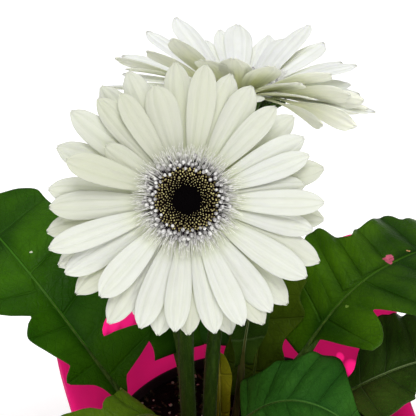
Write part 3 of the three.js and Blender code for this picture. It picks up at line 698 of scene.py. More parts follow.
def petalSkin(name, tones):
    material, place = newMaterial(name, {
        "Roughness": 0.6, "Specular IOR Level": 0.2, "Sheen Weight": 0.15, "Sheen Roughness": 0.5,
        "Subsurface Weight": 0.3, "Subsurface Radius": (0.002, 0.0022, 0.0014), "Subsurface Scale": 1.0})
    side = addNode("ShaderNodeSeparateXYZ", {0: place["UV"]})
    along = side[1]
    tint = attributeOf("tint")
    face = mixed(ramp(along, 0.0, 0.36), tones["base"], tones["face"])
    # tint paints shade, mixing the face towards the shaded tone
    face = mixed(tint * 0.9, face, tones["shaded"])
    back = mixed(ramp(along, 0.05, 0.9), tones["backBase"], tones["back"])
    skin = mixed(attributeOf("under"), face, back)
    # fine ribs run lengthwise, unevenly spaced, and the two broad folds get painted shade in the same tone
    ribPlace = addNode("ShaderNodeCombineXYZ", {0: side * 11.0, 1: along * 0.7, 2: tint * 60.0})
    ribs = noiseOf(ribPlace, 1.0, 2.0, 0.5)
    ribLines = ramp(ribs, 0.48, 0.7) * ramp(along, 0.0, 0.6, 0.4, 0.2)
    fold = calc("ABSOLUTE", calc("ABSOLUTE", side - 0.5) - petalForm["grooveAt"] / 2)
    foldShade = ramp(fold, 0.0, 0.05, 1.0, 0.0) * ramp(along, 0.02, 0.5, 1.0, 0.35)
    skin = mixed(foldShade * 0.22 + ribLines, skin, tones["stripe"])
    cloudy = ramp(noiseOf(place, 90.0), 0.35, 0.7)
    paint("Base Color", mixed(cloudy * 0.15, skin, tones["shaded"]))
    setBump(noiseOf(place, 1600.0, 2.0) * 0.2 + ribs, 0.00022, 0.8)
    return material


frontBloom = {
    "centre": (-25, -21, 253.5), "tilt": 52, "roll": 0, "foot": (-24, 0), "stemRadius": 3.2,
    "rise": (-29, 8, 160), "neckEase": 35, "bractRise": 3.2,
    # clockwise heading from the top, reach, lift, width
    "petals": [
        (9, 48.7, 10, 10.5), (31, 46.9, 7, 11), (43, 45.8, 12, 9), (62, 47.6, 6, 9.5), (71, 46.5, 11, 8.5),
        (82, 42.6, 7, 8.5), (92, 49, 11, 9.5), (103, 46.5, 5, 9), (124, 50.8, 9, 11), (143, 50.4, 5, 10),
        (157, 49, 10, 9.5), (168, 49, 5, 9.5), (185, 47.2, 10, 9.5), (200, 49, 6, 10), (222, 46.5, 9, 11),
        (238, 51.2, 5, 10), (250, 52.2, 11, 9.5), (267, 49.4, 6, 10.5), (289, 44.7, 24, 10), (303, 35, 14, 8),
        (318, 48.3, 8, 9.5), (327, 44.7, 13, 8.5), (345, 42.6, 8, 12),
    ],
    "underPetals": [  # heading, reach
        (20, 48), (52, 49), (76, 50.5), (97, 50), (114, 52.6), (135, 52.2), (149, 52.6), (163, 51), (180, 48.7),
        (193, 50), (213, 52.8), (230, 52.6), (244, 52), (258, 52), (275, 50), (292, 50.8), (306, 52.6),
        (323, 51.5), (336, 50.8), (355, 50), (205, 45.5),
    ],
    "seed": 4,
}
rearBloom = {
    "centre": (-4.8, 59, 248.5), "tilt": -29, "roll": 5, "foot": (-17, 3.5), "stemRadius": 2.9,
    "rise": (-18, 8, 150), "neckEase": 45, "bractRise": 2.6,
    # heading, reach, lift, width, roll
    "petals": [
        (358, 50, 32, 12, 4), (13, 50, 26, 10.5, -10), (23, 50, 28, 10, 12), (32, 52, 32, 11, -6),
        (43, 51, 26, 12, 8), (57, 49, 19, 11, 14), (70, 50, 17, 10, 18), (66, 50, 8, 11, 22),
        (76, 50, 5, 10.5, 25), (96, 54, -3, 11, 20), (106, 50, 3, 13, -52), (124, 50, 8, 13, -44),
        (113, 50, -8, 13, -62), (140, 50, 18, 12, -20), (147, 50, 5, 12.5, -10), (156, 50, 13, 13, -6),
        (169, 50, 20, 13, 0), (184, 50, 21, 13, 0), (197, 50, 21, 13, 4), (214, 50, 28, 12, 10),
        (229, 50, 21, 11, 15), (244, 50, 10, 11, 14), (258, 51, 12, 12, 25), (268, 53, -2, 12, 15),
        (285, 50, 14, 11, -18), (307, 50, 24, 11, -12), (327, 51, 31, 12, -5), (342, 50, 22, 10, 5),
        (349, 49, 28, 8, -15), (27, 51, 7, 13, 4), (97, 51, -4, 12, -40),
        (135, 45, -9, 13, -52), (176, 50, 3, 13, 0), (210, 50, 4, 13, 0), (246, 50, 3, 12, 8),
        (292, 51, 2, 12, -10), (330, 51, 8, 13, 0),
    ],
    "seed": 9,
}
# shaded is painted shade; the last tone colours the fine ribs and paints shade in the two folds
petalTones = {
    "face": colour(214, 217, 207), "base": colour(204, 211, 166), "shaded": colour(186, 188, 168),
    "back": colour(246, 247, 228), "backBase": colour(222, 226, 166), "stripe": colour(182, 189, 160),
}
# the rear bloom wears a lighter copy of these colours: painted light on its petal faces and ribs
litRearTones = {**petalTones, "face": colour(240, 243, 238), "stripe": colour(190, 197, 168)}


blooms = {"Front": frontBloom, "Rear": rearBloom}


def bloomPlace(bloom):
    turn = Matrix.Rotation(radians(bloom["tilt"]), 4, "X") @ Matrix.Rotation(radians(bloom["roll"]), 4, "Y")
    return Matrix.Translation(bloom["centre"]) @ turn


def addFrontPetals(shell):
    random.seed(frontBloom["seed"])
    for k, (heading, reach, lift, width) in enumerate(frontBloom["petals"]):
        bow, cup, roll = petalHabit(k, 0.05)
        root = petalForm["rootHeights"][0 if lift > 8 else 1]
        # petals towards the upper left get painted shade through their tint
        upperLeftShade = smoothStep(cos(radians(heading - 330)), -0.2, 0.9)
        addPetal(shell, heading, reach, lift, width, root, bow, cup, roll,
                 random.uniform(0, 0.2) + 0.8 * upperLeftShade,
                 random.uniform(-0.03, 0.03), random.uniform(-0.25, 0.05), 0.5)
    for k, (heading, reach) in enumerate(frontBloom["underPetals"]):
        bow, cup, roll = petalHabit(k + 5, 0.02)
        root = petalForm["rootHeights"][2 + k % 2]
        # the under petals get painted shade through their tint
        addPetal(shell, heading, reach, 3.5 - 2.5 * (k % 2), 10.5, root, bow, cup, roll,
                 random.uniform(0.3, 0.8), random.uniform(-0.03, 0.03), random.uniform(-0.3, 0.0), 0.6)


def addRearPetals(shell):
    random.seed(rearBloom["seed"])
    for k, (heading, reach, lift, width, roll) in enumerate(rearBloom["petals"]):
        bow, cup = petalHabit(k, 0.1)[:2]
        root = petalForm["rootHeights"][sum(lift < limit for limit in (16, 9, 4))]
        # tint paints shade, a little more on the low petals
        addPetal(shell, heading, reach, lift, width, root, bow, cup, roll,
                 random.uniform(0, 0.15) + (0.1 if lift < 9 else 0.0),
                 random.uniform(-0.03, 0.03), random.uniform(-0.3, 0.1), random.uniform(0.5, 1.6))


def buildPetals():
    for suffix, addPetals, tones in (("Front", addFrontPetals, petalTones), ("Rear", addRearPetals, litRearTones)):
        name = "whitePetals" + suffix
        shell = newShell()
        addPetals(shell)
        addLathe(shell, petalForm["disc"], 48)
        piece = makePiece(name, shell, [petalSkin(name, tones)], bloomPlace(blooms[suffix]))
        keepPiece(piece, "petals", "petals_" + suffix.lower())
    print("petals built")


buildPetals()


# Eye: a dimpled button covered with florets, dark in the middle, pale tipped at its rim, with a fringe.
eyeForm = {
    "crown": [(0, 2.7), (1.4, 2.75), (4.4, 3.0), (6.8, 3.5), (9.0, 4.0), (10.8, 3.5), (11.8, 2.2), (12.2, 0.4)],
    "back": [(0, -3.2), (8.3, -3.2), (8.3, -0.2)], "turn": radians(137.508),
    # count, inner and outer radius, lean outward in degrees, size at its inside and outside, first turn
    "rings": {
        "closedBuds": (250, 0.0, 7.8, 8, 0.42, 0.6, 7),
        "goldFlorets": (380, 5.0, 10.9, 26, 0.3, 0.84, 7),
        "paleFlorets": (128, 9.5, 12.9, 46, 1.1, 1.65, 7),
        "fringe": (740, 11.0, 13.4, 70, 1, 1, 0),
    },
    "bud": [(0, -0.3), (0.42, 0), (0.5, 0.5), (0.36, 1.1), (0, 1.35)],
    "gold": [(0, -0.4), (0.3, 0), (0.34, 0.9), (0.5, 1.5), (0.34, 2.0), (0, 2.15)],
    "pale": [(0, -0.4), (0.26, 0), (0.24, 1.4), (0.5, 2.2), (0.55, 2.7), (0.2, 3.1), (0, 3.0)],
    "filament": {"length": 7.6, "steps": 6, "radii": (0.15, 0.05), "bend": 0.175},
    "paints": {  # low and high colour, height of the change between them, roughness, shine
        "heartDark": (colour(3, 1, 2), colour(7, 4, 6), 0.9, 0.8, 0.03),
        "budDark": (colour(2, 1, 2), colour(6, 3, 4), 0.8, 0.8, 0.03),
        "goldTip": (colour(50, 28, 22), colour(206, 196, 134), 0.84, 0.7, 0.06),
        "paleTip": (colour(44, 28, 42), colour(220, 219, 216), 0.66, 0.6, 0.2),
        "fringeWhite": (colour(190, 187, 186), colour(246, 246, 238), 0.3, 0.6, 0.2),
    },
}


def crownHeightAt(radius):
    crown = eyeForm["crown"]
    for (r0, z0), (r1, z1) in zip(crown, crown[1:]):
        if radius <= r1:
            return lerp(z0, z1, (radius - r0) / (r1 - r0))
    return crown[-1][1]


def turnedTemplate(name, profile, sides=6):
    shell = newShell()
    addLathe(shell, profile, sides)
    top = max(height for radius, height in profile)
    shell["tint"] = [max(0.0, point.z) / top for point in shell["points"]]
    return templatePiece(name, shell)


def filamentTemplate():
    # a thin strap that starts upright and bends over outward, wider at its foot
    shell = newShell()
    form = eyeForm["filament"]
    length = form["length"]
    marks = [k / form["steps"] for k in range(form["steps"] + 1)]
    points = [Vector((form["bend"] * length * u ** 2, 0, length * u)) for u in marks]
    addTube(shell, points, [lerp(*form["radii"], u) for u in marks], 4)
    shell["tint"] = [min(1.0, point.z / length) for point in shell["points"]]
    return templatePiece("filament", shell)


def floretPaint(name, low, high, turnAt, rough, shine):
    material, place = newMaterial(name, {"Roughness": rough, "Specular IOR Level": shine})
    tone = mixed(ramp(attributeOf("tint"), turnAt - 0.2, turnAt + 0.15), low, high)
    patch = ramp(noiseOf(place, 700.0, 1.0), 0.4, 0.62)
    paint("Base Color", mixed(patch, mixed(0.6, tone, low), tone))
    setBump(noiseOf(place, 2500.0), 0.00008)
    return material


def ringSeeds(count, inner, outer, lean, small, large, firstTurn):
    seeds = []
    for k in range(count):
        angle = (k + firstTurn) * eyeForm["turn"] + random.uniform(-0.035, 0.035)
        radius = sqrt(lerp(inner ** 2, outer ** 2, (k + 0.5) / count)) + random.uniform(-0.3, 0.25) * inner / 10
        outward = Vector((cos(angle), sin(angle), 0))
        tip = radians(lean * (radius / outer) ** 1.5 + random.uniform(-11, 11))
        aim = outward * sin(tip) + zAxis * cos(tip)
        size = lerp(small, large, (radius - inner) / (outer - inner))
        seeds.append((outward * radius + zAxis * (crownHeightAt(radius) - 0.15), aim, size))
    return seeds


def buildEyes():
    paints = {name: floretPaint(name, *values) for name, values in eyeForm["paints"].items()}
    kinds = {
        "closedBuds": (turnedTemplate("bud", eyeForm["bud"]), paints["budDark"]),
        "goldFlorets": (turnedTemplate("gold", eyeForm["gold"]), paints["goldTip"]),
        "paleFlorets": (turnedTemplate("pale", eyeForm["pale"]), paints["paleTip"]),
        "fringe": (filamentTemplate(), paints["fringeWhite"]),
    }
    for suffix, bloom in blooms.items():
        place = bloomPlace(bloom)
        random.seed(bloom["seed"] + 20)
        button = newShell()
        addLathe(button, eyeForm["back"] + eyeForm["crown"][::-1], 64)
        keepPiece(makePiece("eyeButton" + suffix, button, [paints["heartDark"]], place),
                  "eye", "eye_" + suffix.lower())
        for name, ring in eyeForm["rings"].items():
            template, finish = kinds[name]
            slot, smallest, largest = ("petals", 0.75, 1.2) if name == "fringe" else ("eye", 0.85, 1.15)
            piece = grown(name + suffix, seedMesh(name, ringSeeds(*ring), place), plant, Template=template,
                          Smallest=smallest, Largest=largest, Seed=bloom["seed"], Finish=finish)
            keepPiece(piece, slot)
    print("eyes built")


buildEyes()


# Stems with the green cup, its bracts and down.
stemForm = {
    "soilFoot": 82.0, "crown": 97.0, "cupTop": -3.5, "cupDepth": 12.0, "steps": 60, "sides": 20,
    "cup": [
        (0, 0), (3.4, 0.1), (5.4, 1.0), (7.5, 2.6), (10.2, 5.2), (12.4, 8.0), (12.6, 10), (12.6, 12), (0, 12)],
    # count, radius and height at the root, reach, half width
    "bracts": [(13, 6.6, 2.4, 16.0, 2.9), (15, 9.2, 4.6, 18.5, 2.6)],
    "hairs": 900000.0, "hairLength": (0.5, 1.3), "hair": [(0, 0), (0.05, 0.0), (0.03, 0.6), (0, 1.0)],
    "bractEdge": -7.5, "bractRows": 8,
    "bractSpread": (-1, -0.5, 0, 0.5, 1), "bractDepths": (0.7, 0.9, 1.0, 0.9, 0.7),
    "green": colour(34, 58, 4), "light": colour(58, 86, 14), "down": colour(98, 118, 56),
}


def stemSkin(name, dark, light):
    material, place = newMaterial(name, {
        "Roughness": 0.55, "Specular IOR Level": 0.15, "Sheen Weight": 0.08, "Sheen Roughness": 0.4})
    stretched = addNode("ShaderNodeMapping", {"Vector": place, "Scale": (1, 1, 0.12)})
    streaks = ramp(noiseOf(stretched, 700.0), 0.35, 0.68)
    cloudy = ramp(noiseOf(place, 40.0), 0.35, 0.7)
    paint("Base Color", mixed(streaks * 0.55 + cloudy * 0.3, dark, light))
    setBump(streaks, 0.00025)
    return material


def stemPath(bloom, place):
    foot = Vector((*bloom["foot"], stemForm["crown"]))
    cupFoot = stemForm["cupTop"] - stemForm["cupDepth"]
    neck = place @ Vector((0, 0, cupFoot + 3))
    ease = place @ Vector((0, 0, cupFoot - bloom["neckEase"]))
    curve = (foot, Vector(bloom["rise"]), ease, neck)
    start = Vector((*bloom["foot"], stemForm["soilFoot"]))
    return [start] + [bezierPoint(curve, k / stemForm["steps"]) for k in range(stemForm["steps"] + 1)]


def addBracts(shell, bloom):
    cupFoot = stemForm["cupTop"] - stemForm["cupDepth"]
    outer = stemForm["bractEdge"] + bloom["bractRise"]
    spread, last = stemForm["bractSpread"], stemForm["bractRows"]
    for number, (count, rootRadius, rootRise, reach, halfWidth) in enumerate(stemForm["bracts"]):
        for k in range(count):
            angle = 2 * pi * (k + 0.5 * number) / count
            ahead = Vector((sin(angle), cos(angle), 0))
            across = Vector((cos(angle), -sin(angle), 0))
            rows = []
            for i in range(last + 1):
                u = i / last
                height = lerp(cupFoot + rootRise, outer + 0.8 * number, u)
                height -= 0.9 * sin(pi * u) * (1 - number)
                half = halfWidth * sqrt(max(0.02, 1 - u ** 1.7))
                half *= 0.6 + 0.4 * sin(pi * min(1, u + 0.3))
                middle = ahead * lerp(rootRadius, reach, u) + zAxis * height
                rows.append([middle + across * (s * half) + zAxis * (0.5 * abs(s)) for s in spread])
            uvRows = [[(0.5 + 0.5 * s, i / last) for s in spread] for i in range(last + 1)]
            addBlade(shell, rows, uvRows, [stemForm["bractDepths"]] * (last + 1), 0.5)


def buildStems():
    skin = stemSkin("stemGreen", stemForm["green"], stemForm["light"])
    downPaint, place = newMaterial("stemDown", {"Roughness": 0.6, "Specular IOR Level": 0.2})
    paint("Base Color", mixed(noiseOf(place, 300.0), stemForm["down"], stemForm["light"]))
    hair = turnedTemplate("hair", stemForm["hair"], 3)
    smallest, largest = stemForm["hairLength"]
    for suffix, bloom in blooms.items():
        place = bloomPlace(bloom)
        points = stemPath(bloom, place)
        head = newShell()
        cupFoot = stemForm["cupTop"] - stemForm["cupDepth"]
        addLathe(head, [(radius, cupFoot + height) for radius, height in stemForm["cup"]], 40)
        addBracts(head, bloom)
        shell = newShell()
        addTube(shell, points, [bloom["stemRadius"]] * len(points), stemForm["sides"],
                wobble=lambda angle, i: 1 + 0.02 * sin(7 * angle + 0.05 * i))
        for key in ("uvs", "under", "tint"):
            shell[key] = shell[key] + head[key]
        shift = len(shell["points"])
        shell["points"] += [place @ point for point in head["points"]]
        addFaces(shell, [tuple(k + shift for k in face) for face in head["faces"]])
        stem = makePiece("stem" + suffix, shell, [skin])
        down = grown("down" + suffix, stem.data, sow, Template=hair, Density=stemForm["hairs"],
                     Smallest=smallest, Largest=largest, Lean=0.5, Seed=bloom["seed"], Finish=downPaint)
        keepPiece(down, "stem")
        keepPiece(stem, "stem", "stem_" + suffix.lower())
    print("stems built")


buildStems()


# Leaves: a stalk that runs on under the blade as its midrib, and a lobed, waved and quilted blade.
leafForm = {
    "soilFoot": 82.0, "crown": 97.0, "veinSweep": 0.7, "thickness": 0.5, "rowsPerLobe": 16, "halfColumns": 15,
    "outlineRows": 120, "midribGroove": 0.9, "veinGroove": 0.75, "smallVeinGroove": 0.2, "stalkSides": 12,
    "veinWidth": 2.2, "smallVeinWidth": 1.9, "midribWidth": 1.7, "quilt": 0.45,
}
# foot and bend are the stalk's curve, which runs on as the midrib; bladeFrom is where on it the blade starts
# outline rows are: part of the blade's length, left half width, right half width; veins start at left and right
leaves = {
    "leaf_left": {
        "foot": (-33, 3), "bend": [(-83, 9, 184), (-81, 7, 191), (-136, 108, 168)], "stalk": 2.8, "seed": 1,
        "bladeFrom": 0.15, "fold": 0.2, "wave": 2, "face": (0.2, -0.6, 1), "paint": "broadGreen",
        "veins": ((0.115, 0.265, 0.44, 0.66, 0.85), (0.06, 0.31, 0.52, 0.72, 0.9)),
        "outline": [
            (0, 3, 2.5), (0.036, 4.5, 7), (0.044, 4.8, 18), (0.055, 5.5, 24), (0.07, 7, 26),
            (0.1, 13.5, 20.9), (0.115, 16.4, 17),
            (0.135, 14, 12), (0.15, 10.8, 8), (0.17, 12, 9.5), (0.19, 13.6, 20), (0.21, 15, 27),
            (0.265, 18, 30.5), (0.315, 14.7, 32.5), (0.34, 11.7, 31.5), (0.36, 19, 30.5),
            (0.4, 27, 25.5), (0.45, 28.5, 26), (0.5, 26.5, 28.6), (0.56, 21, 27.5), (0.62, 25, 26.7),
            (0.69, 26, 25.9), (0.75, 22, 25.8), (0.8, 18, 19.5), (0.84, 18.5, 10.8), (0.9, 15, 9), (0.96, 8.5, 6),
            (1, 1, 1)],
        "flecks": [((-89.8, 37.8, 181), 0.7, "paleFleck")]},
    "leaf_right": {
        "foot": (-4, 7), "bend": [(37, 28, 169), (34, 14, 192), (101, 80, 158)], "stalk": 2.4, "seed": 2,
        "bladeFrom": 0.25, "fold": 0.14, "wave": 2.6, "paint": "brightGreen",
        "veins": ((0.158, 0.327, 0.459, 0.607, 0.763, 0.893), (0.183, 0.45, 0.642, 0.833)),
        "outline": [
            (0, 14, 1.2), (0.04, 18, 1.5), (0.094, 19.5, 3.6), (0.149, 19.5, 23), (0.167, 20.5, 31.4),
            (0.191, 22.5, 31.7), (0.215, 25.5, 29.6), (0.246, 30, 25.3), (0.288, 32.3, 20.1),
            (0.321, 32.7, 15.2), (0.344, 32.4, 20.5), (0.368, 31.5, 31), (0.433, 26.2, 33.9), (0.476, 24, 33.5),
            (0.527, 20.9, 29.5), (0.598, 25.2, 29.5), (0.668, 25.2, 30), (0.72, 26.2, 27), (0.772, 27.4, 23.5),
            (0.794, 25.6, 23.4), (0.815, 20.2, 24), (0.868, 19.9, 21.5), (0.929, 15, 15), (0.965, 9.5, 9.5),
            (1, 1, 1)],
        "flecks": [((57.2, 42.3, 173.3), 2.2, "pinkFleck"), ((66.1, 49.9, 172), 1.0, "tanFleck"),
                   ((38.9, 20.8, 166.1), 1.1, "greenFleck")]},
    "leaf_low_right": {
        "foot": (-4, -4), "bend": [(34, 23, 116), (58, -3, 162), (98, 34, 130)], "stalk": 2.4, "seed": 3,
        "bladeFrom": 0.42, "fold": 0.22, "wave": 2, "paint": "deepGreen",
        "veins": ((0.12, 0.3, 0.53, 0.76, 0.92), (0.12, 0.3, 0.53, 0.76, 0.92)),
        "outline": [
            (0, 4, 3), (0.04, 5.5, 10), (0.065, 6.2, 20), (0.09, 7.8, 26.5), (0.12, 15, 28.3), (0.16, 20, 27),
            (0.2, 23.7, 24.8), (0.235, 25.9, 23.7), (0.3, 27, 18.7), (0.36, 26, 16), (0.42, 25.6, 20),
            (0.5, 25.2, 25), (0.56, 25.4, 25.2), (0.62, 25, 22), (0.68, 24.6, 18.5), (0.74, 24, 20),
            (0.8, 19.5, 19.5), (0.87, 15.5, 16), (0.93, 10.5, 11), (1, 1, 1)]},
    "leaf_front_right": {
        "foot": (-12, -6), "bend": [(-12, -6, 136), (20, -4, 163), (52, -18, 120)], "stalk": 2.4, "seed": 4,
        "bladeFrom": 0.31, "fold": 0.14, "wave": 1.4, "paint": "frontGreen",
        "veins": ((0.05, 0.2, 0.4, 0.6, 0.8), (0.07, 0.2, 0.38, 0.56, 0.8)),
        "outline": [
            (0, 4, 4), (0.02, 19.7, 15), (0.07, 18.5, 18), (0.11, 17.7, 18.5), (0.15, 19, 20), (0.18, 21.9, 21),
            (0.25, 21.4, 20.5), (0.29, 23.4, 22), (0.33, 27, 24.5), (0.38, 27.3, 25),
            (0.45, 27, 23), (0.52, 26.7, 23), (0.59, 24.6, 22.5), (0.64, 20.3, 20), (0.69, 15.4, 16.5),
            (0.74, 12, 14), (0.79, 9, 12), (0.84, 6.5, 10), (0.92, 5, 6.5), (1, 1, 1)]},
    "leaf_front_left": {
        "foot": (-31, -8), "bend": [(-29, -13, 154), (-46, -42, 186), (-84, -64, 126)], "stalk": 2.4, "seed": 5,
        "bladeFrom": 0.28, "fold": 0.15, "wave": 1.8, "paint": "youngGreen",
        "veins": ((0.125, 0.375, 0.625, 0.875), (0.09, 0.3, 0.62, 0.85)),
        "outline": [
            (0, 4, 10), (0.03, 8, 13.5), (0.08, 14, 20), (0.12, 16.5, 18.8), (0.2, 19, 14.5),
            (0.3, 19.5, 13), (0.37, 17.5, 12.4), (0.43, 16, 11), (0.48, 16.5, 9), (0.5, 17, 12.8),
            (0.55, 19, 16.8), (0.61, 20.5, 20.8), (0.7, 19.5, 21), (0.77, 15.5, 16), (0.84, 14, 14), (0.92, 9, 9),
            (1, 1, 1)]},
    "leaf_middle": {
        "foot": (-8, 12), "bend": [(-2, 22, 130), (-4, 10, 165), (4, 10, 196)], "stalk": 1.6, "seed": 6,
        "bladeFrom": 0.42, "width": 20, "lobes": 2, "notch": 0.3, "fold": 0.3, "wave": 0.8, "face": (0.3, -1, 0.3),
        "paint": "deepGreen", "stalkPaint": "brownStalk"},
    "leaf_young": {
        "foot": (-12, 8), "bend": [(-13, 13, 108), (-12, 15, 125), (-13, 16, 145)], "stalk": 1.7, "seed": 7,
        "bladeFrom": 0.2, "width": 11, "base": (0.5, 0.5), "lobes": 2, "notch": 0.2, "fold": 0.35, "wave": 0.4,
        "face": (0, -1, 0.3), "paint": "paleGreen"},
    "leaf_middle_right": {
        "foot": (-3, 12), "bend": [(3, 27, 120), (4, 34, 150), (8, 43, 187)], "stalk": 2, "seed": 8,
        "bladeFrom": 0.24, "width": 42, "sides": (0.9, 0.9), "base": (0.5, 0.6), "widest": (0.6, 0.65),
        "lobes": 3, "notch": 0.35, "fold": 0.3, "wave": 1.4, "face": (-0.2, -1, 0.4), "paint": "brownedGreen"},
    "leaf_back_left": {
        "foot": (-25, 11), "bend": [(-26, 20, 150), (-38, 40, 192), (-76, 104, 146)], "stalk": 2.6, "seed": 9,
        "bladeFrom": 0.3, "width": 56, "paint": "broadGreen"},
    "leaf_back": {
        "foot": (-17, 14), "bend": [(-18, 36, 140), (-12, 62, 176), (2, 121.95, 136)], "stalk": 2.6, "seed": 10,
        "bladeFrom": 0.3, "width": 58, "paint": "frontGreen"},
    "leaf_near_left": {
        "foot": (-22, -13), "bend": [(-24, -30, 146), (-24, -62, 172), (-30, -120, 120)], "stalk": 2.6, "seed": 12,
        "bladeFrom": 0.26, "width": 54, "paint": "broadGreen"},
    "leaf_near": {
        "foot": (-12, -15), "bend": [(-4, -32, 144), (14, -62, 168), (40, -106, 120)], "stalk": 2.6, "seed": 13,
        "bladeFrom": 0.3, "width": 50, "paint": "frontGreen"},
    "leaf_near_right": {
        "foot": (-3, -13), "bend": [(12, -32, 106), (48, -58, 172), (92, -73, 126)], "stalk": 2.4, "seed": 14,
        "bladeFrom": 0.34, "width": 46, "paint": "brightGreen"},
}
commonLeaf = {"sides": (1, 1), "base": (0.4, 0.4), "widest": (0.6, 0.6), "lobes": 4, "notch": 0.45,
              "fold": 0.14, "wave": 2.2, "face": (0, 0, 1), "stalkPaint": "leafStalk", "flecks": []}
# the first two colours are partly the leaf's own tones, partly painted shade in the creases and painted light on
# the raised parts
leafPaints = {  # creases, raised parts between veins, midrib
    "broadGreen": (colour(26, 62, 1), colour(56, 101, 3), colour(60, 112, 22)),
    "brightGreen": (colour(23, 54, 2), colour(68, 107, 6), colour(56, 98, 14)),
    "deepGreen": (colour(32, 54, 12), colour(62, 86, 24), colour(132, 150, 100)),
    "frontGreen": (colour(32, 76, 22), colour(62, 116, 36), colour(80, 128, 52)),
    "youngGreen": (colour(40, 64, 4), colour(86, 112, 14), colour(108, 126, 44)),
    "paleGreen": (colour(118, 118, 16), colour(168, 164, 38), colour(176, 168, 66)),
    "brownedGreen": (colour(34, 50, 6), colour(74, 96, 14), colour(94, 108, 36)),
}
fleckTones = {"paleFleck": colour(214, 216, 196), "pinkFleck": colour(204, 92, 122),
              "tanFleck": colour(216, 160, 112), "greenFleck": colour(112, 140, 60)}
leafBack = colour(122, 140, 92)


def leafSkin(name, tones, flecks):
    creaseShadeTone, raisedLightTone, rib = tones
    material, place = newMaterial(name, {
        "Roughness": 0.42, "Specular IOR Level": 0.06, "Subsurface Weight": 0.05,
        "Subsurface Radius": (0.001, 0.0016, 0.0006), "Subsurface Scale": 1.0})
    across = addNode("ShaderNodeSeparateXYZ", {0: place["UV"]})
    along = across[1]
    reach = calc("ABSOLUTE", across)  # from the midrib, in millimetres
    # from 0 on a side vein to 0.5 between two of them; smaller veins run halfway
    offVein = calc("ABSOLUTE", calc("FRACT", attributeOf("tint")) - 0.5)
    offSmall = calc("SUBTRACT", 0.5, offVein)
    wander = noiseOf(place, 70.0) * 0.44 - 0.22
    offAny = calc("MINIMUM", offVein, offSmall + 0.16) + wander
    puff = ramp(offAny, -0.05, 0.32) * ramp(reach, 0.6, 4.5)
    midrib = ramp(along * 0.5 + reach, 0.6, 1.0, 1.0, 0.0)
    sideVein = ramp(reach * 0.001 + offVein, 0.012, 0.04, 1.0, 0.0)
    smallVein = ramp(reach * 0.001 + offSmall, 0.012, 0.035, 1.0, 0.0)
    branch = reach * 0.2 + offVein * -3.2 + wander * 6.0
    branches = ramp(calc("PINGPONG", branch, 0.5), 0.0, 0.08, 1.0, 0.0)
    net = addNode("ShaderNodeTexVoronoi", {"Vector": place, "Scale": 420.0}, feature="DISTANCE_TO_EDGE")
    small = calc("MAXIMUM", branches * 0.25, ramp(net, 0.0, 0.14, 1.0, 0.0) * 0.16)
    cloudy = ramp(noiseOf(place, 45.0, 4.0), 0.3, 0.72)
    # painted light on the puffed parts between veins and painted shade in the creases; the small veins are laid in
    # the crease's painted shade too
    lit = puff * (cloudy * 0.75 + 0.25)
    broad = ramp(noiseOf(place, 26.0, 2.0), 0.36, 0.66, 0.0, 0.52)
    face = mixed(lit * 0.36 + broad, creaseShadeTone, raisedLightTone)
    face = mixed(small, face, creaseShadeTone)
    face = mixed(calc("MAXIMUM", sideVein * 0.1, midrib * 0.7), face, rib)
    for centre, radius, tone in flecks:
        ragged = addNode("ShaderNodeTexNoise", {"Vector": place, "Scale": 380.0})["Color"]
        pushed = vectorCalc("MULTIPLY_ADD", ragged, (radius * mm * 3.4,) * 3, place)
        shifted = [(value + radius * 1.7) * mm for value in centre]
        mark = ramp(vectorCalc("DISTANCE", pushed, shifted)["Value"], radius * mm * 0.8, radius * mm, 1.0, 0.0)
        face = mixed(mark * 0.85, face, fleckTones[tone])
    under = attributeOf("under")
    paint("Base Color", mixed(under, face, mixed(0.4, face, leafBack)))
    grooves = calc("MAXIMUM", calc("MAXIMUM", smallVein * 0.3, small), calc("MAXIMUM", sideVein, midrib))
    setBump(noiseOf(place, 900.0) * 0.25 + grooves * (under * 2.0 - 1.0), 0.0005)
    paint("Roughness", ramp(cloudy, 0.0, 1.0, 0.34, 0.5))
    return material


def leafFrameAt(leaf, path, t):
    along = bezierTangent(path, t)
    across = along.cross(Vector(leaf["face"])).normalized()
    return bezierPoint(path, t), across, across.cross(along)


def alongMarks(marks, column, place, smooth=False):
    # a value read from rows of marks, straight from mark to mark or eased without overshoot
    k = next((i for i in range(1, len(marks)) if marks[i][0] >= place), len(marks) - 1)
    start, end = marks[k - 1][0], marks[k][0]
    part = (place - start) / (end - start)
    if not smooth:
        return lerp(marks[k - 1][column], marks[k][column], part)

    def slope(i):
        return (marks[i][column] - marks[i - 1][column]) / (marks[i][0] - marks[i - 1][0])

    def tangent(i):
        if i == 0 or i == len(marks) - 1:
            return slope(max(i, 1))
        before, after = slope(i), slope(i + 1)
        return 0.0 if before * after <= 0 else 2 * before * after / (before + after)

    low, high, run = marks[k - 1][column], marks[k][column], end - start
    return (low * (1 + 2 * part) * (1 - part) ** 2 + high * part ** 2 * (3 - 2 * part)
            + run * tangent(k - 1) * part * (1 - part) ** 2 - run * tangent(k) * part ** 2 * (1 - part))


def lobeCount(leaf, u, side):
    # a side vein lies at each half, a dip between two lobes at each whole
    if "veins" not in leaf:
        return leaf["lobes"] * u
    veins = leaf["veins"][0 if side < 0 else 1]
    return alongMarks([(0, 0), *[(vein, k + 0.5) for k, vein in enumerate(veins)], (1, len(veins))], 1, u)


def leafWidthAt(leaf, u, side):
    half = 0 if side < 0 else 1
    if "outline" in leaf:
        return alongMarks(leaf["outline"], 1 + half, u, True)
    widest = leaf["widest"][half]
    if u < widest:
        outline = lerp(leaf["base"][half], 1, sin(pi / 2 * u / widest) ** 1.5)
    else:
        outline = sqrt(1 - ((u - widest) / (1.02 - widest)) ** 2)
    depth = leaf["notch"] * (1 - 0.6 * u) * min(1, 6 * u, 4 * (1 - u))
    habit = 1 + 0.06 * sin(2.3 * leaf["lobes"] * u + leaf["seed"] + 1.3 * side)
    lobed = 1 - depth * cos(pi * leaf["lobes"] * u) ** 2
    return leaf["width"] / 2 * leaf["sides"][half] * outline * lobed * habit


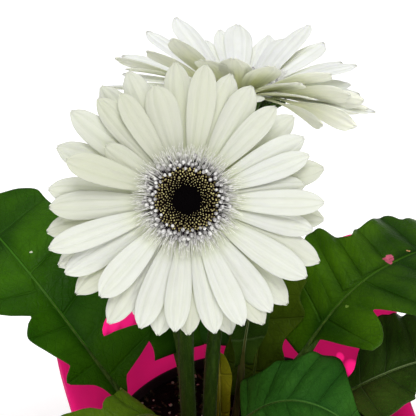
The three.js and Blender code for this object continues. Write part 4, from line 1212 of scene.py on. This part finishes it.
def leafPoint(leaf, path, length, u, s):
    spread, side = abs(s), -1 if s < 0 else 1
    out = spread * leafWidthAt(leaf, u, side)
    bladeLength = length * (1 - leaf["bladeFrom"])
    sweep = leafForm["veinSweep"] * out * (1 - u) * min(1, 4 * u) / bladeLength
    middle, across, normal = leafFrameAt(leaf, path, lerp(leaf["bladeFrom"], 1, u + sweep))
    count = lobeCount(leaf, u, side)
    ripple = 0.5 * leaf["wave"] * cos(2 * pi * count) * spread
    swell = leaf["wave"] * sin(5 * u + leaf["seed"] + 1.1 * side) * spread ** 2
    inLobe = count % 1
    lobeLength = bladeLength / lobeCount(leaf, 1, side)
    fade = smoothStep(out, 0.5, 6) * (1 - 0.75 * spread ** 2)
    dip = leafForm["veinGroove"] * exp(-((inLobe - 0.5) * lobeLength / leafForm["veinWidth"]) ** 2) * fade
    offSmall = min(inLobe, 1 - inLobe) * lobeLength
    dip += leafForm["smallVeinGroove"] * exp(-(offSmall / leafForm["smallVeinWidth"]) ** 2) * fade
    dip += leafForm["midribGroove"] * exp(-(out / leafForm["midribWidth"]) ** 2) * (1 - 0.7 * u)
    quilt = leafForm["quilt"] * noise.noise(Vector((u * 24 + leaf["seed"], s * 8, 0))) * fade
    lift = leaf["fold"] * out + min(1, 3 * u) * (ripple + swell) - dip + quilt
    return middle + across * (side * out) + normal * lift


def addLeafStalk(shell, leaf, path, slot):
    end = lerp(leaf["bladeFrom"], 1, 0.92)
    steps = 40
    points = [Vector((*leaf["foot"], leafForm["soilFoot"]))]
    radii = [leaf["stalk"]]
    for k in range(steps + 1):
        t = end * k / steps
        middle, across, normal = leafFrameAt(leaf, path, t)
        onBlade = max(0.0, (t - leaf["bladeFrom"]) / (end - leaf["bladeFrom"]))
        radius = lerp(leaf["stalk"], 0.95, min(1.0, t / lerp(leaf["bladeFrom"], 1, 0.3)) ** 3)
        radius *= 1 - 0.65 * onBlade
        sink = radius * smoothStep(t, leaf["bladeFrom"] - 0.06, leaf["bladeFrom"] + 0.02)
        points.append(middle - normal * (sink + 0.5 * smoothStep(onBlade, 0, 0.2)))
        radii.append(radius)
    addTube(shell, points, radii, leafForm["stalkSides"], slot)


def buildLeaf(node, leaf, paints):
    path = (Vector((*leaf["foot"], leafForm["crown"])), *[Vector(point) for point in leaf["bend"]])
    marks = [bezierPoint(path, k / 100) for k in range(101)]
    length = sum((b - a).length for a, b in zip(marks, marks[1:]))
    rows = leafForm["outlineRows"] if "outline" in leaf else leafForm["rowsPerLobe"] * leaf["lobes"]
    half = leafForm["halfColumns"]
    columns = [side * (k / half) ** 0.9 for side, steps in ((-1, range(half, 0, -1)), (1, range(0, half + 1)))
               for k in steps]
    grid, uvRows, depths, counts = [], [], [], []
    for i in range(rows + 1):
        u = i / rows
        grid.append([leafPoint(leaf, path, length, u, s) for s in columns])
        uvRows.append([(s * leafWidthAt(leaf, u, -1 if s < 0 else 1), u) for s in columns])
        depths.append([leafForm["thickness"] * (1 - 0.5 * s * s) for s in columns])
        counts.extend(lobeCount(leaf, u, s) for s in columns)
    shell = newShell()
    addBlade(shell, grid, uvRows, depths)
    shell["tint"] = counts + counts
    addLeafStalk(shell, leaf, path, 1)
    words = node.split("_")
    name = words[0] + "".join(word.capitalize() for word in words[1:])  # leaf_left becomes leafLeft
    special = {"leaf_middle": "leaf_dark", "leaf_low_right": "leaf_dark", "leaf_young": "leaf_pale"}
    keepPiece(makePiece(name, shell, paints), special.get(node, "leaf"), node)


def buildLeaves():
    stalks = {
        "leafStalk": stemSkin("leafStalk", colour(40, 64, 10), colour(78, 102, 30)),
        "brownStalk": stemSkin("brownStalk", colour(46, 50, 16), colour(88, 84, 34)),
    }
    for node, special in leaves.items():
        leaf = {**commonLeaf, **special}
        skin = leafSkin(leaf["paint"] + str(leaf["seed"]), leafPaints[leaf["paint"]], leaf["flecks"])
        buildLeaf(node, leaf, [skin, stalks[leaf["stalkPaint"]]])
    print("leaves built")


buildLeaves()


for template in templates:
    bpy.data.objects.remove(template)
print("all pieces made")
